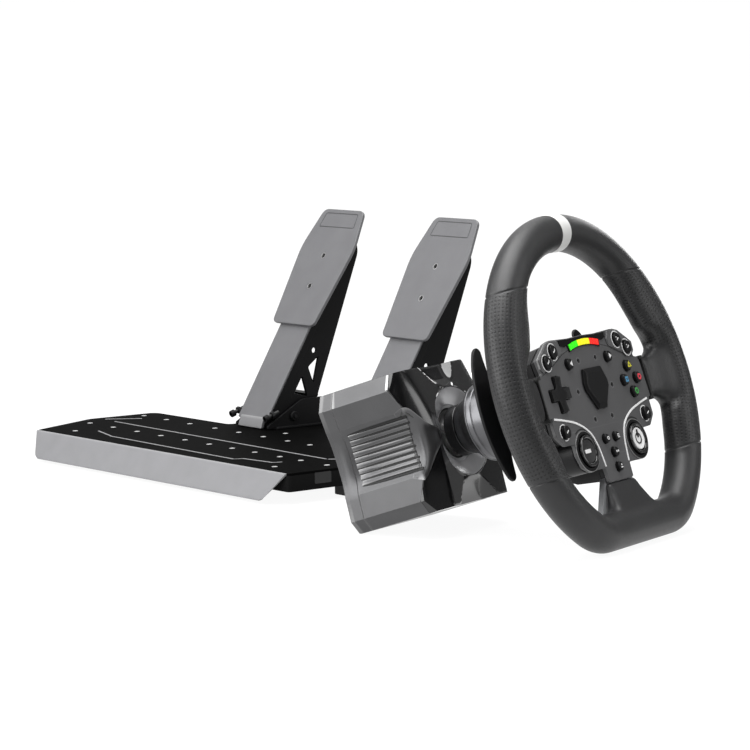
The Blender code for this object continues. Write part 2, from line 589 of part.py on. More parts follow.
def tray(name, outline, lo, hi, wall, colour, parent):
    bm = bmesh.new()
    top = [bm.verts.new((x * S, y * S, hi * S)) for x, y in outline]
    low = [bm.verts.new((x * S, y * S, lo * S)) for x, y in outline]
    n = len(outline)
    cap = bm.faces.new(top)
    for i in range(n):
        bm.faces.new((top[i], low[i], low[(i + 1) % n], top[(i + 1) % n]))
    bmesh.ops.recalc_face_normals(bm, faces=bm.faces)
    if cap.normal.z < 0:
        bmesh.ops.reverse_faces(bm, faces=bm.faces)
    bmesh.ops.triangulate(bm, faces=[cap])
    me = bpy.data.meshes.new(name)
    bm.to_mesh(me)
    bm.free()
    ob = finish(bpy.data.objects.new(name, me), name, colour, parent)
    m = ob.modifiers.new("wall", "SOLIDIFY")
    m.thickness = wall * S
    m.offset = -1
    m.use_even_offset = True
    return ob


tray("heel_plate", plate_outline, 9.0, PLATE_TOP, 2.5, "black", pedal_unit)

lip_bm = bmesh.new()
LIP_OUT, LIP_IN, LIP_T = 16.0, 19.0, 2.4
quad = [lip_bm.verts.new((x * S, y * S, z * S)) for x, y, z in [(0, -0.4, PLATE_TOP), (PLATE_W, -0.4, PLATE_TOP), (PLATE_W - LIP_IN, -LIP_OUT, 0.4), (LIP_IN, -LIP_OUT, 0.4)]]
f = lip_bm.faces.new(quad)
f.normal_update()
if f.normal.y > 0:
    f.normal_flip()
me = bpy.data.meshes.new("heel_lip")
lip_bm.to_mesh(me)
lip_bm.free()
lip = finish(bpy.data.objects.new("heel_lip", me), "heel_lip", "lip", pedal_unit)
m = lip.modifiers.new("sheet", "SOLIDIFY")
m.thickness = LIP_T * S
m.offset = 1

for side, x0, x1 in (("left", 4, 24), ("right", 376, 396)):
    finish(box(x0, x1, 12, 140 if side == "left" else 228, 0, 23.6), side + "_foot", "rubber", pedal_unit)

lean = math.radians(LEAN)


def on_lever(s, out=0.0):
    """Point (y, z) at a distance s up the lever's front, and out in front of it."""
    return (PEDAL_FOOT_Y + s * math.sin(lean) - out * math.cos(lean), PLATE_TOP + s * math.cos(lean) + out * math.sin(lean))


def slab(x0, x1, s0, s1, out0, out1):
    """Flat bar lying along the lever's front."""
    q = [on_lever(s0, out0), on_lever(s1, out0), on_lever(s1, out1), on_lever(s0, out1)]
    return flat(q, x0, x1, axis="X")


def rounded(pts, r, n=2):
    out = []
    k = len(pts)
    for i in range(k):
        p, a, b = Vector(pts[i]), Vector(pts[i - 1]), Vector(pts[(i + 1) % k])
        pa, pb = p + (a - p).normalized() * r, p + (b - p).normalized() * r
        for j in range(n + 1):
            t = j / n
            q = (1 - t) ** 2 * pa + 2 * t * (1 - t) * p + t * t * pb
            out.append((q.x, q.y))
    return out


for name, px, dy in (("brake", BRAKE_X, 0.0), ("throttle", THROTTLE_X, THROTTLE_DY)):
    unit = empty(name + "_unit", (px * S, dy * S, 0), (0, 0, 0))
    unit.parent = pedal_unit
    pivot = (0, PIVOT_Y, PIVOT_Z)
    # lever: front web, two side cheeks with lightening holes, spring seat, pivot trunnions
    web = slab(-23, 23, 15, 214, 0, -3.0)
    finish(web, name + "_lever", "lever", unit)
    cheek = [on_lever(16, -1.5), on_lever(212, -1.5), (263, 188), (262, 183), (213, 56), (211, 49), (198, 39.5), (190, 33), (185, 30.2), (178, 30.2), (168, 34)]
    cuts = [circle(209.5, 97.1, 2.6, 10), [(202.3, 82), (214.5, 91.5), (208, 66.5)], [(195, 74), (185.5, 58.5), (200.5, 54.5)]]
    for i, (x0, x1) in enumerate(((-22.8, -20), (20, 22.8))):
        boolean(web, flat(cheek, x0, x1, cuts, axis="X"), "%s_cheek_%d" % (name, i), unit, "UNION")
    boolean(web, flat([(203, 53.5), (215, 53.5), (215, 56.5), (203, 56.5)], -21.5, 21.5, axis="X"), name + "_seat", unit, "UNION")
    boolean(web, cylinder((PIVOT_Y, PIVOT_Z), 3.6, 3.6, -28.5, 28.5, 12, "X"), name + "_trunnion", unit, "UNION")
    place_origin(web, pivot)
    # face plate
    face = rounded([(-31, 231), (31, 231), (41.3, 190), (32.3, 108.5), (-32.3, 108.5), (-41.3, 190)], 6)
    ob = flat(face, 0, 3.2, axis="Z")
    yb, zb = on_lever(0, GAP)
    ob.data.transform(Matrix.Translation((0, yb * S, zb * S)) @ Matrix.Rotation(math.radians(90) - lean, 4, "X"))
    finish(ob, name + "_face", "lever", unit)
    place_origin(ob, pivot)
    # fixed mount: base plate and two side plates that hold the pivot
    mount = box(-30.5, 30.5, 152, 236, PLATE_TOP + GAP, 29.3)
    finish(mount, name + "_mount", "black", unit)
    side_plate = [(152, PLATE_TOP + GAP), (192, 53.3), (225, 53.3), (236, 40), (236, PLATE_TOP + GAP)]
    for i, (x0, x1) in enumerate(((-26.5, -23.8), (23.8, 26.5))):
        boolean(mount, flat(side_plate, x0, x1, [circle(PIVOT_Y, PIVOT_Z, 4.0, 12)], axis="X"), "%s_plate_%d" % (name, i), unit, "UNION")
    # coil spring between the mount and the lever's seat
    cu = bpy.data.curves.new("coil", "CURVE")
    cu.dimensions = "3D"
    cu.bevel_depth = 0.9 * S
    cu.bevel_resolution = 1
    cu.use_fill_caps = True
    turns, per = 5, 8
    sp = cu.splines.new("POLY")
    sp.points.add(turns * per)
    for i in range(turns * per + 1):
        a = math.tau * i / per
        sp.points[i].co = (5.0 * math.cos(a) * S, (209 + 5.0 * math.sin(a)) * S, (30.6 + (52.2 - 30.6) * i / (turns * per)) * S, 1)
    tmp = bpy.data.objects.new("coil", cu)
    me = mesh_from(tmp)
    bpy.data.objects.remove(tmp)
    bpy.data.curves.remove(cu)
    finish(bpy.data.objects.new(name + "_spring", me), name + "_spring", "steel", unit)
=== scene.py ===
"""Looks of the racing wheel set: leather D-shaped wheel, button panel, quick release,
wheel base and a two-pedal set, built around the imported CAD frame."""
import math

import bmesh
import bpy
import numpy as np
from mathutils import Matrix, Vector


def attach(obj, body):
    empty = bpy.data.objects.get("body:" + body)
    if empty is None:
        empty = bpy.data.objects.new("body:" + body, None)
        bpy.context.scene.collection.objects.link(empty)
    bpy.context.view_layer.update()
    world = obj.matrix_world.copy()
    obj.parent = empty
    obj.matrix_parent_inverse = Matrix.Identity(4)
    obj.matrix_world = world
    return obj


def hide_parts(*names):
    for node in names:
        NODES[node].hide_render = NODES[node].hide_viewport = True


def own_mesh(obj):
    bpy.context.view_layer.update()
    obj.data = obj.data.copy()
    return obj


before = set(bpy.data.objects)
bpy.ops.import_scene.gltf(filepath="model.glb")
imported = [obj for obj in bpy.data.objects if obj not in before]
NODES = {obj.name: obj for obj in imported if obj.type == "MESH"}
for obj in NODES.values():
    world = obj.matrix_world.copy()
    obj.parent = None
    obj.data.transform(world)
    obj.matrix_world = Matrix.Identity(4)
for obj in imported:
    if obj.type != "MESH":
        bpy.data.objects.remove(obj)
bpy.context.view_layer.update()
SC = bpy.context.scene
SC.view_settings.view_transform = "Standard"

# ------------------------------------------------------------------ frames (millimetres to metres)
PITCH = math.radians(18.0)
CP, SP = math.cos(PITCH), math.sin(PITCH)
HUB = Vector((-127.273, -325.395, 119.32))
WHEEL = Matrix(((1, 0, 0, HUB.x), (0, CP, SP, HUB.y), (0, -SP, CP, HUB.z), (0, 0, 0, 1)))
YAW = math.radians(-110.1)
CY, SY = math.cos(YAW), math.sin(YAW)
PEDAL = Matrix(((CY, -SY, 0, 51.127), (SY, CY, 0, 369.205), (0, 0, 1, 0), (0, 0, 0, 1)))
BRAKE = PEDAL @ Matrix.Translation((133.4, 0, 0))
THROTTLE = PEDAL @ Matrix.Translation((316.5, -10, 0))


# ------------------------------------------------------------------ small geometry kit
def circle(cx, cz, r, n=40, a0=0.0):
    return [(cx + r * math.cos(a0 + math.tau * i / n), cz + r * math.sin(a0 + math.tau * i / n)) for i in range(n)]


def arc(cx, cz, r, a0, a1, n):
    return [(cx + r * math.cos(math.radians(a0 + (a1 - a0) * i / n)), cz + r * math.sin(math.radians(a0 + (a1 - a0) * i / n))) for i in range(n + 1)]


def mirrored(half):
    return list(half) + [(-x, z) for x, z in reversed(half) if abs(x) > 1e-6]


def rounded(pts, r, n=4):
    """Closed outline with each corner replaced by a small curve; r is one radius or one for each corner."""
    out = []
    k = len(pts)
    for i in range(k):
        ri = r[i] if isinstance(r, (list, tuple)) else r
        p, a, b = Vector(pts[i]), Vector(pts[i - 1]), Vector(pts[(i + 1) % k])
        ri = min(ri, (a - p).length * 0.45, (b - p).length * 0.45)
        if ri < 0.05:
            out.append((p.x, p.y))
            continue
        pa, pb = p + (a - p).normalized() * ri, p + (b - p).normalized() * ri
        for j in range(n + 1):
            t = j / n
            q = (1 - t) ** 2 * pa + 2 * t * (1 - t) * p + t * t * pb
            out.append((q.x, q.y))
    return out


def catmull(pts, n=8):
    """Smooth open curve through the points."""
    P = [Vector(p) for p in pts]
    P = [P[0] * 2 - P[1]] + P + [P[-1] * 2 - P[-2]]
    out = []
    for i in range(1, len(P) - 2):
        for j in range(n):
            t = j / n
            out.append(0.5 * ((2 * P[i]) + (P[i + 1] - P[i - 1]) * t + (2 * P[i - 1] - 5 * P[i] + 4 * P[i + 1] - P[i + 2]) * t * t
                              + (3 * P[i] - 3 * P[i + 1] + P[i + 2] - P[i - 1]) * t ** 3))
    out.append(P[-2])
    return [tuple(p) for p in out]


def strip(pts, w):
    """Outline of a ribbon of width w along an open line."""
    P = [Vector(p) for p in pts]
    left, right = [], []
    for i, p in enumerate(P):
        d = (P[min(i + 1, len(P) - 1)] - P[max(i - 1, 0)]).normalized()
        nrm = Vector((-d.y, d.x)) * (w / 2)
        left.append(tuple(p + nrm))
        right.append(tuple(p - nrm))
    return left + right[::-1]


def inset(pts, d):
    """Closed outline moved inwards by d, whichever way it runs."""
    area = sum(a[0] * b[1] - b[0] * a[1] for a, b in zip(pts, pts[1:] + pts[:1]))
    s = 1 if area > 0 else -1
    out = []
    k = len(pts)
    for i in range(k):
        p, a, b = Vector(pts[i]), Vector(pts[i - 1]), Vector(pts[(i + 1) % k])
        e0, e1 = (p - a).normalized(), (b - p).normalized()
        n0, n1 = Vector((-e0.y, e0.x)) * s, Vector((-e1.y, e1.x)) * s
        m = (n0 + n1)
        m = m / max(m.length_squared / 2, 0.3)
        out.append(tuple(p + m * d))
    return out


class Piece:
    """Collects closed shapes, in millimetres of a local frame, into one object."""

    def __init__(self, name, mat4=WHEEL):
        self.name, self.M = name, mat4
        self.v, self.f, self.mi, self.mats = [], [], [], []

    def _slot(self, mat):
        if mat not in self.mats:
            self.mats.append(mat)
        return self.mats.index(mat)

    def put(self, verts, faces, mat):
        o, k = len(self.v), self._slot(mat)
        self.v += [tuple(v) for v in verts]
        self.f += [tuple(i + o for i in f) for f in faces]
        self.mi += [k] * len(faces)
        return self

    def grid(self, rows, mat, close_u=False, close_v=False, caps=False):
        """Rows of points of equal length joined by quads."""
        n, m = len(rows), len(rows[0])
        v = [p for r in rows for p in r]
        f = []
        for i in range(n if close_v else n - 1):
            for j in range(m if close_u else m - 1):
                a, b = i * m + j, i * m + (j + 1) % m
                c, d = ((i + 1) % n) * m + (j + 1) % m, ((i + 1) % n) * m + j
                f.append((a, b, c, d))
        if caps:
            f.append(tuple(range(m))[::-1])
            f.append(tuple((n - 1) * m + j for j in range(m)))
        return self.put(v, f, mat)

    def turn(self, prof, mat, centre=(0, 0), axis="Y", steps=72, a0=0.0, r=0.0):
        """Closed turned shape: profile of (radius, along) points; r rounds its corners."""
        if r:
            body = [p for p in prof]
            out = []
            for i, p in enumerate(body):
                if i in (0, len(body) - 1) and p[0] < 1e-6:
                    out.append(p)
                    continue
                a, b = Vector(body[i - 1]), Vector(body[(i + 1) % len(body)])
                q = Vector(p)
                rr = min(r, (a - q).length * 0.45, (b - q).length * 0.45)
                if rr < 0.02:
                    out.append(p)
                    continue
                pa, pb = q + (a - q).normalized() * rr, q + (b - q).normalized() * rr
                for j in range(4):
                    t = j / 3
                    w = (1 - t) ** 2 * pa + 2 * t * (1 - t) * q + t * t * pb
                    out.append((w.x, w.y))
            prof = out
        v, f, rows = [], [], []

        def pt(rad, ang, along):
            u, w = centre[0] + rad * math.cos(ang), centre[1] + rad * math.sin(ang)
            return (u, along, w) if axis == "Y" else (along, u, w) if axis == "X" else (u, w, along)

        for rad, along in prof:
            if rad < 1e-6:
                rows.append([len(v)])
                v.append(pt(0, 0, along))
            else:
                rows.append(list(range(len(v), len(v) + steps)))
                v += [pt(rad, a0 + math.tau * k / steps, along) for k in range(steps)]
        pairs = list(zip(rows, rows[1:]))
        if prof[0][0] > 1e-6 and prof[-1][0] > 1e-6:
            pairs.append((rows[-1], rows[0]))
        for r0, r1 in pairs:
            if len(r0) == 1 and len(r1) == 1:
                continue
            for k in range(steps):
                k2 = (k + 1) % steps
                if len(r0) == 1:
                    f.append((r0[0], r1[k2], r1[k]))
                elif len(r1) == 1:
                    f.append((r0[k], r0[k2], r1[0]))
                else:
                    f.append((r0[k], r0[k2], r1[k2], r1[k]))
        return self.put(v, f, mat)

    def plate(self, outline, lo, hi, mat, holes=(), axis="Y", bevel=0.3, res=2, xf=None):
        """Flat piece from an outline, its holes and two levels, with every edge bevelled."""
        cu = bpy.data.curves.new("t", "CURVE")
        cu.dimensions = "2D"
        cu.fill_mode = "BOTH"
        bevel = min(bevel, (hi - lo) * 0.49)
        cu.extrude = (hi - lo) / 2 - bevel
        if bevel > 0:
            cu.bevel_depth = bevel
            cu.offset = -bevel
            cu.bevel_resolution = res
        for ring in [outline] + list(holes):
            sp = cu.splines.new("POLY")
            sp.points.add(len(ring) - 1)
            for p, (x, y) in zip(sp.points, ring):
                p.co = (x, y, 0, 1)
            sp.use_cyclic_u = True
        ob = bpy.data.objects.new("t", cu)
        SC.collection.objects.link(ob)
        me = bpy.data.meshes.new_from_object(ob.evaluated_get(bpy.context.evaluated_depsgraph_get()))
        bpy.data.objects.remove(ob)
        bpy.data.curves.remove(cu)
        bm = bmesh.new()
        bm.from_mesh(me)
        bmesh.ops.remove_doubles(bm, verts=bm.verts, dist=0.004)
        bmesh.ops.dissolve_degenerate(bm, edges=bm.edges, dist=0.0005)
        bm.verts.ensure_lookup_table()
        mid = (lo + hi) / 2
        vs = []
        for v in bm.verts:
            x, y, z = v.co
            q = (x, mid - z, y) if axis == "Y" else (z + mid, x, y) if axis == "X" else (x, y, z + mid)
            vs.append(tuple(xf @ Vector(q)) if xf is not None else q)
        fs = [[v.index for v in f.verts] for f in bm.faces]
        bm.free()
        bpy.data.meshes.remove(me)
        return self.put(vs, fs, mat)

    def tube(self, pts, r, mat, n=12, closed=False):
        """Round tube along 3-D points."""
        P = [Vector(p) for p in pts]
        rows = []
        up = Vector((0.13, 0.31, 0.94))
        for i, p in enumerate(P):
            a = P[i - 1] if (i or closed) else P[0]
            b = P[(i + 1) % len(P)] if (i < len(P) - 1 or closed) else P[-1]
            t = (b - a).normalized()
            s = t.cross(up).normalized()
            q = s.cross(t)
            rows.append([tuple(p + (s * math.cos(math.tau * k / n) + q * math.sin(math.tau * k / n)) * r) for k in range(n)])
        return self.grid(rows, mat, close_u=True, close_v=closed, caps=not closed)

    def done(self, body, rep=(), angle=38, weighted=False, bevel=None):
        me = bpy.data.meshes.new(self.name)
        S = 0.001
        me.from_pydata([tuple((self.M @ Vector(v)) * S) for v in self.v], [], self.f)
        for m in self.mats:
            me.materials.append(m)
        me.polygons.foreach_set("material_index", self.mi)
        bm = bmesh.new()
        bm.from_mesh(me)
        bmesh.ops.recalc_face_normals(bm, faces=bm.faces)
        bm.to_mesh(me)
        bm.free()
        me.shade_smooth()
        me.set_sharp_from_angle(angle=math.radians(angle))
        ob = bpy.data.objects.new(self.name, me)
        SC.collection.objects.link(ob)
        if bevel:
            b = ob.modifiers.new("edges", "BEVEL")
            b.width, b.segments, b.limit_method, b.angle_limit = bevel * S, 2, "ANGLE", math.radians(24)
            b.use_clamp_overlap = True
            b.harden_normals = False
        if weighted or bevel:
            w = ob.modifiers.new("normals", "WEIGHTED_NORMAL")
            w.keep_sharp = True
        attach(ob, body)
        if rep:
            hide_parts(*rep)
        return ob


# ------------------------------------------------------------------ materials
def srgb(v):
    v = v / 255.0
    return v / 12.92 if v <= 0.04045 else ((v + 0.055) / 1.055) ** 2.4


def col(r, g=None, b=None):
    g, b = (r, r) if g is None else (g, b)
    return (srgb(r), srgb(g), srgb(b), 1.0)


def material(name, colour, rough=0.4, metal=0.0, grain=0.0006, bump=0.03, vary=0.10, rough_vary=0.06, coat=0.0, coat_rough=0.05,
             spec=0.5, wear=0.0, wear_colour=None, brushed=None, emit=0.0, blotch=0.02):
    """Procedural finish: uneven tone, fine surface texture, roughness variation and worn edges."""
    m = bpy.data.materials.new(name)
    m.use_nodes = True
    nt = m.node_tree
    nd, ln = nt.nodes, nt.links
    bs = nd["Principled BSDF"]
    bs.inputs["Metallic"].default_value = metal
    bs.inputs["Specular IOR Level"].default_value = spec
    if coat:
        bs.inputs["Coat Weight"].default_value = coat
        bs.inputs["Coat Roughness"].default_value = coat_rough
    tc = nd.new("ShaderNodeTexCoord")
    vec = tc.outputs["Object"]
    big = nd.new("ShaderNodeTexNoise")
    big.inputs["Scale"].default_value = 1.0 / blotch
    big.inputs["Detail"].default_value = 4.0
    ln.new(vec, big.inputs["Vector"])
    ramp = nd.new("ShaderNodeValToRGB")
    lo, hi = ramp.color_ramp.elements
    lo.position, hi.position = 0.3, 0.7
    lo.color = tuple(c * (1 - vary) for c in colour[:3]) + (1,)
    hi.color = tuple(min(1.0, c * (1 + vary)) for c in colour[:3]) + (1,)
    ln.new(big.outputs["Fac"], ramp.inputs["Fac"])
    out = ramp.outputs["Color"]
    if wear:
        geo = nd.new("ShaderNodeNewGeometry")
        wr = nd.new("ShaderNodeMapRange")
        wr.inputs["From Min"].default_value, wr.inputs["From Max"].default_value = 0.53, 0.62
        wr.inputs["To Max"].default_value = wear
        ln.new(geo.outputs["Pointiness"], wr.inputs["Value"])
        mx = nd.new("ShaderNodeMix")
        mx.data_type = "RGBA"
        mx.inputs[7].default_value = wear_colour or tuple(min(1.0, c * 2.2 + 0.03) for c in colour[:3]) + (1,)
        ln.new(wr.outputs["Result"], mx.inputs[0])
        ln.new(out, mx.inputs[6])
        out = mx.outputs[2]
    ln.new(out, bs.inputs["Base Color"])
    fine = nd.new("ShaderNodeTexNoise")
    fine.inputs["Scale"].default_value = 1.0 / grain
    fine.inputs["Detail"].default_value = 3.0
    if brushed:
        mp = nd.new("ShaderNodeMapping")
        mp.inputs["Scale"].default_value = brushed
        ln.new(vec, mp.inputs["Vector"])
        ln.new(mp.outputs["Vector"], fine.inputs["Vector"])
    else:
        ln.new(vec, fine.inputs["Vector"])
    rr = nd.new("ShaderNodeMapRange")
    rr.inputs["To Min"].default_value = max(0.02, rough - rough_vary)
    rr.inputs["To Max"].default_value = min(1.0, rough + rough_vary)
    ln.new(fine.outputs["Fac"], rr.inputs["Value"])
    ln.new(rr.outputs["Result"], bs.inputs["Roughness"])
    if bump:
        bp = nd.new("ShaderNodeBump")
        bp.inputs["Strength"].default_value = 1.0
        bp.inputs["Distance"].default_value = bump * 0.001
        ln.new(fine.outputs["Fac"], bp.inputs["Height"])
        ln.new(bp.outputs["Normal"], bs.inputs["Normal"])
    if emit:
        ln.new(out, bs.inputs["Emission Color"])
        bs.inputs["Emission Strength"].default_value = emit
    return m


M = {}
M["panel"] = material("panel_paint", col(77, 77, 78), 0.45, 0.1, 0.0005, 0.012, 0.05, wear=0.35)
# lighter metal painted as edge highlights on the upper pods and round the button pods' fronts
M["panel_edge"] = material("panel_edge_bright", col(150, 150, 150), 0.3, 0.4, 0.0005, 0.01, 0.06)
M["black"] = material("black_moulded", col(18, 18, 19), 0.42, 0.0, 0.0007, 0.03, 0.10, wear=0.25, spec=0.25)
M["satin"] = material("black_satin", col(16, 16, 17), 0.34, 0.0, 0.0006, 0.012, 0.08, wear=0.3, spec=0.18)
M["soft"] = material("black_rubberised", col(24, 24, 25), 0.55, 0.0, 0.0005, 0.02, 0.08, wear=0.3)
M["gloss"] = material("black_gloss", col(8, 8, 9), 0.2, 0.0, 0.004, 0.0, 0.2, 0.02, coat=0.8, coat_rough=0.12, spec=0.3)
M["visor"] = material("visor_gloss", col(5, 5, 6), 0.14, 0.0, 0.003, 0.0, 0.2, 0.02, spec=0.2)
# near black for small black parts and print, and the painted shade in grooves, slots, the dish throat and openings
M["dark"] = material("dark_recess", col(7, 7, 7), 0.6, 0.0, 0.0006, 0.02, 0.1)
M["housing"] = material("base_metal_paint", col(82, 82, 83), 0.3, 0.75, 0.0005, 0.016, 0.05, wear=0.6, wear_colour=col(150), spec=0.4)
M["housing_dark"] = material("base_metal_shadow", col(66, 66, 67), 0.4, 0.4, 0.0005, 0.015, 0.06)
M["anodised"] = material("black_anodised", col(24, 24, 25), 0.3, 0.35, 0.0004, 0.012, 0.08, wear=0.3)
M["cone"] = material("turned_aluminium", col(100, 100, 102), 0.3, 1.0, 0.0009, 0.02, 0.06, 0.06, brushed=(0.1, 1.2, 0.1))
M["collar"] = material("collar_black", col(20, 20, 21), 0.22, 0.3, 0.0005, 0.01, 0.08, spec=0.5)
# light ring at each plate hole, painted as the reflection on the hole's edge
M["insert"] = material("steel_insert", col(170, 170, 170), 0.4, 0.2, 0.0008, 0.01, 0.06, spec=0.4)
M["silver"] = material("machined_aluminium", col(205, 206, 208), 0.2, 1.0, 0.0009, 0.02, 0.06, 0.07, brushed=(0.1, 1.2, 0.1))
M["steel"] = material("steel_zinc", col(150, 150, 150), 0.32, 0.9, 0.0008, 0.02, 0.08, wear=0.2)
M["core"] = material("core_cast_aluminium", col(140, 141, 143), 0.45, 0.85, 0.0012, 0.05, 0.08)
M["dish"] = material("polished_dish", col(190, 190, 192), 0.22, 0.5, 0.004, 0.0, 0.06, 0.03)
# white print, also used as the painted highlight of the base's joint strips
M["white"] = material("white_print", col(236, 236, 236), 0.4, 0.0, 0.0006, 0.006, 0.02, blotch=0.01)
M["band"] = material("white_leather", col(226, 226, 224), 0.45, 0.0, 0.0008, 0.05, 0.04)
# dark paint coloured grey on faces turned to the light: painted reflection on the levers' fronts and face plates
M["pedal"] = material("pedal_grey_painted_reflection", col(100, 100, 102), 0.42, 0.1, 0.0005, 0.018, 0.04, wear=0.4, wear_colour=col(170), spec=0.3)
# the heel plate's black paint, coloured grey where the folded lip catches the light: painted reflection
M["lip"] = material("lip_grey_painted_reflection", col(124, 124, 126), 0.42, 0.1, 0.0005, 0.018, 0.04, wear=0.4, wear_colour=col(180), spec=0.3)
M["plate"] = material("powder_coat_black", col(7, 7, 7), 0.6, 0.0, 0.0006, 0.02, 0.12, wear=0.25, spec=0.004)
# lighter grey painted as the highlight along the pressed lines
M["line"] = material("line_painted_highlight", col(132, 132, 133), 0.5, 0.1, 0.0006, 0.01, 0.05, spec=0.1)
M["bracket"] = material("bracket_black", col(13, 13, 14), 0.5, 0.0, 0.0006, 0.03, 0.10, wear=0.35, spec=0.12)
M["rubber"] = material("foot_rubber", col(22, 22, 22), 0.8, 0.0, 0.0009, 0.08, 0.12)
M["winding"] = material("motor_winding", col(150, 84, 40), 0.35, 0.6, 0.0009, 0.1, 0.12, brushed=(1, 6, 1))
M["board"] = material("circuit_board", col(16, 74, 42), 0.4, 0.0, 0.0016, 0.03, 0.2, blotch=0.004)
M["led_green"] = material("led_green", col(52, 226, 20), 0.25, 0.0, 0.0008, 0.0, 0.05, emit=0.5)
M["led_yellow"] = material("led_yellow", col(238, 232, 28), 0.25, 0.0, 0.0008, 0.0, 0.05, emit=0.5)
M["led_red"] = material("led_red", col(240, 38, 28), 0.25, 0.0, 0.0008, 0.0, 0.05, emit=0.5)
for key, c in (("yellow", (222, 214, 58)), ("blue", (84, 150, 190)), ("red", (226, 60, 76)), ("green", (66, 160, 76))):
    M["mark_" + key] = material("button_" + key, col(*c), 0.35, 0.0, 0.0006, 0.0, 0.05)
    M["cap_" + key] = material("button_cap_" + key, col(*[int(20 + v * 0.20) for v in c]), 0.3, 0.0, 0.0006, 0.008, 0.08)


def leather_material(name, colour):
    """Smooth calf leather with a fine pore grain; where the mesh carries the perforation mask it is punched with a grid
    of dots, each pressed in by a bump and painted dark for the shade inside the hole.
    """
    m = bpy.data.materials.new(name)
    m.use_nodes = True
    nt = m.node_tree
    nd, ln = nt.nodes, nt.links
    bs = nd["Principled BSDF"]
    bs.inputs["Specular IOR Level"].default_value = 0.45
    bs.inputs["Sheen Weight"].default_value = 0.0
    bs.inputs["Sheen Roughness"].default_value = 0.4
    tc = nd.new("ShaderNodeTexCoord")
    uv = nd.new("ShaderNodeUVMap")
    uv.uv_map = "grip"
    att = nd.new("ShaderNodeAttribute")
    att.attribute_name = "perf"
    # punched dots: distance to the middle of each cell
    fr = nd.new("ShaderNodeVectorMath")
    fr.operation = "FRACTION"
    ln.new(uv.outputs["UV"], fr.inputs[0])
    sub = nd.new("ShaderNodeVectorMath")
    sub.operation = "SUBTRACT"
    sub.inputs[1].default_value = (0.5, 0.5, 0.0)
    ln.new(fr.outputs["Vector"], sub.inputs[0])
    sepv = nd.new("ShaderNodeSeparateXYZ")
    ln.new(sub.outputs["Vector"], sepv.inputs[0])
    cmb = nd.new("ShaderNodeCombineXYZ")
    ln.new(sepv.outputs["X"], cmb.inputs["X"])
    ln.new(sepv.outputs["Y"], cmb.inputs["Y"])
    dist = nd.new("ShaderNodeVectorMath")
    dist.operation = "LENGTH"
    ln.new(cmb.outputs["Vector"], dist.inputs[0])
    dot = nd.new("ShaderNodeMapRange")
    dot.interpolation_type = "SMOOTHSTEP"
    dot.inputs["From Min"].default_value, dot.inputs["From Max"].default_value = 0.20, 0.30
    dot.inputs["To Min"].default_value, dot.inputs["To Max"].default_value = 1.0, 0.0
    ln.new(dist.outputs["Value"], dot.inputs["Value"])
    hole = nd.new("ShaderNodeMath")
    hole.operation = "MULTIPLY"
    ln.new(dot.outputs["Result"], hole.inputs[0])
    ln.new(att.outputs["Fac"], hole.inputs[1])
    # tone
    big = nd.new("ShaderNodeTexNoise")
    big.inputs["Scale"].default_value = 40.0
    big.inputs["Detail"].default_value = 5.0
    ln.new(tc.outputs["Object"], big.inputs["Vector"])
    ramp = nd.new("ShaderNodeValToRGB")
    lo, hi = ramp.color_ramp.elements
    lo.position, hi.position = 0.3, 0.72
    lo.color = tuple(c * 0.86 for c in colour[:3]) + (1,)
    hi.color = tuple(c * 1.14 for c in colour[:3]) + (1,)
    ln.new(big.outputs["Fac"], ramp.inputs["Fac"])
    # punched dots darkened to 0.12 of the leather colour: painted shade inside each hole
    mx = nd.new("ShaderNodeMix")
    mx.data_type = "RGBA"
    mx.inputs[7].default_value = tuple(c * 0.12 for c in colour[:3]) + (1,)
    ln.new(hole.outputs["Value"], mx.inputs[0])
    ln.new(ramp.outputs["Color"], mx.inputs[6])
    ln.new(mx.outputs[2], bs.inputs["Base Color"])
    # pores
    vor = nd.new("ShaderNodeTexVoronoi")
    vor.feature = "DISTANCE_TO_EDGE"
    vor.inputs["Scale"].default_value = 1000.0
    ln.new(tc.outputs["Object"], vor.inputs["Vector"])
    pore = nd.new("ShaderNodeMapRange")
    pore.inputs["From Max"].default_value = 0.16
    ln.new(vor.outputs["Distance"], pore.inputs["Value"])
    fine = nd.new("ShaderNodeTexNoise")
    fine.inputs["Scale"].default_value = 420.0
    fine.inputs["Detail"].default_value = 4.0
    ln.new(tc.outputs["Object"], fine.inputs["Vector"])
    h1 = nd.new("ShaderNodeMath")
    h1.operation = "MULTIPLY_ADD"
    h1.inputs[1].default_value = 0.5
    ln.new(pore.outputs["Result"], h1.inputs[0])
    ln.new(fine.outputs["Fac"], h1.inputs[2])
    bp = nd.new("ShaderNodeBump")
    bp.inputs["Distance"].default_value = 0.00005
    ln.new(h1.outputs["Value"], bp.inputs["Height"])
    bp2 = nd.new("ShaderNodeBump")
    bp2.invert = True
    bp2.inputs["Distance"].default_value = 0.0004
    ln.new(hole.outputs["Value"], bp2.inputs["Height"])
    ln.new(bp.outputs["Normal"], bp2.inputs["Normal"])
    ln.new(bp2.outputs["Normal"], bs.inputs["Normal"])
    rr = nd.new("ShaderNodeMapRange")
    rr.inputs["To Min"].default_value, rr.inputs["To Max"].default_value = 0.35, 0.50
    ln.new(fine.outputs["Fac"], rr.inputs["Value"])
    ln.new(rr.outputs["Result"], bs.inputs["Roughness"])
    return m


M["leather"] = leather_material("grip_leather_black", col(34, 34, 35))

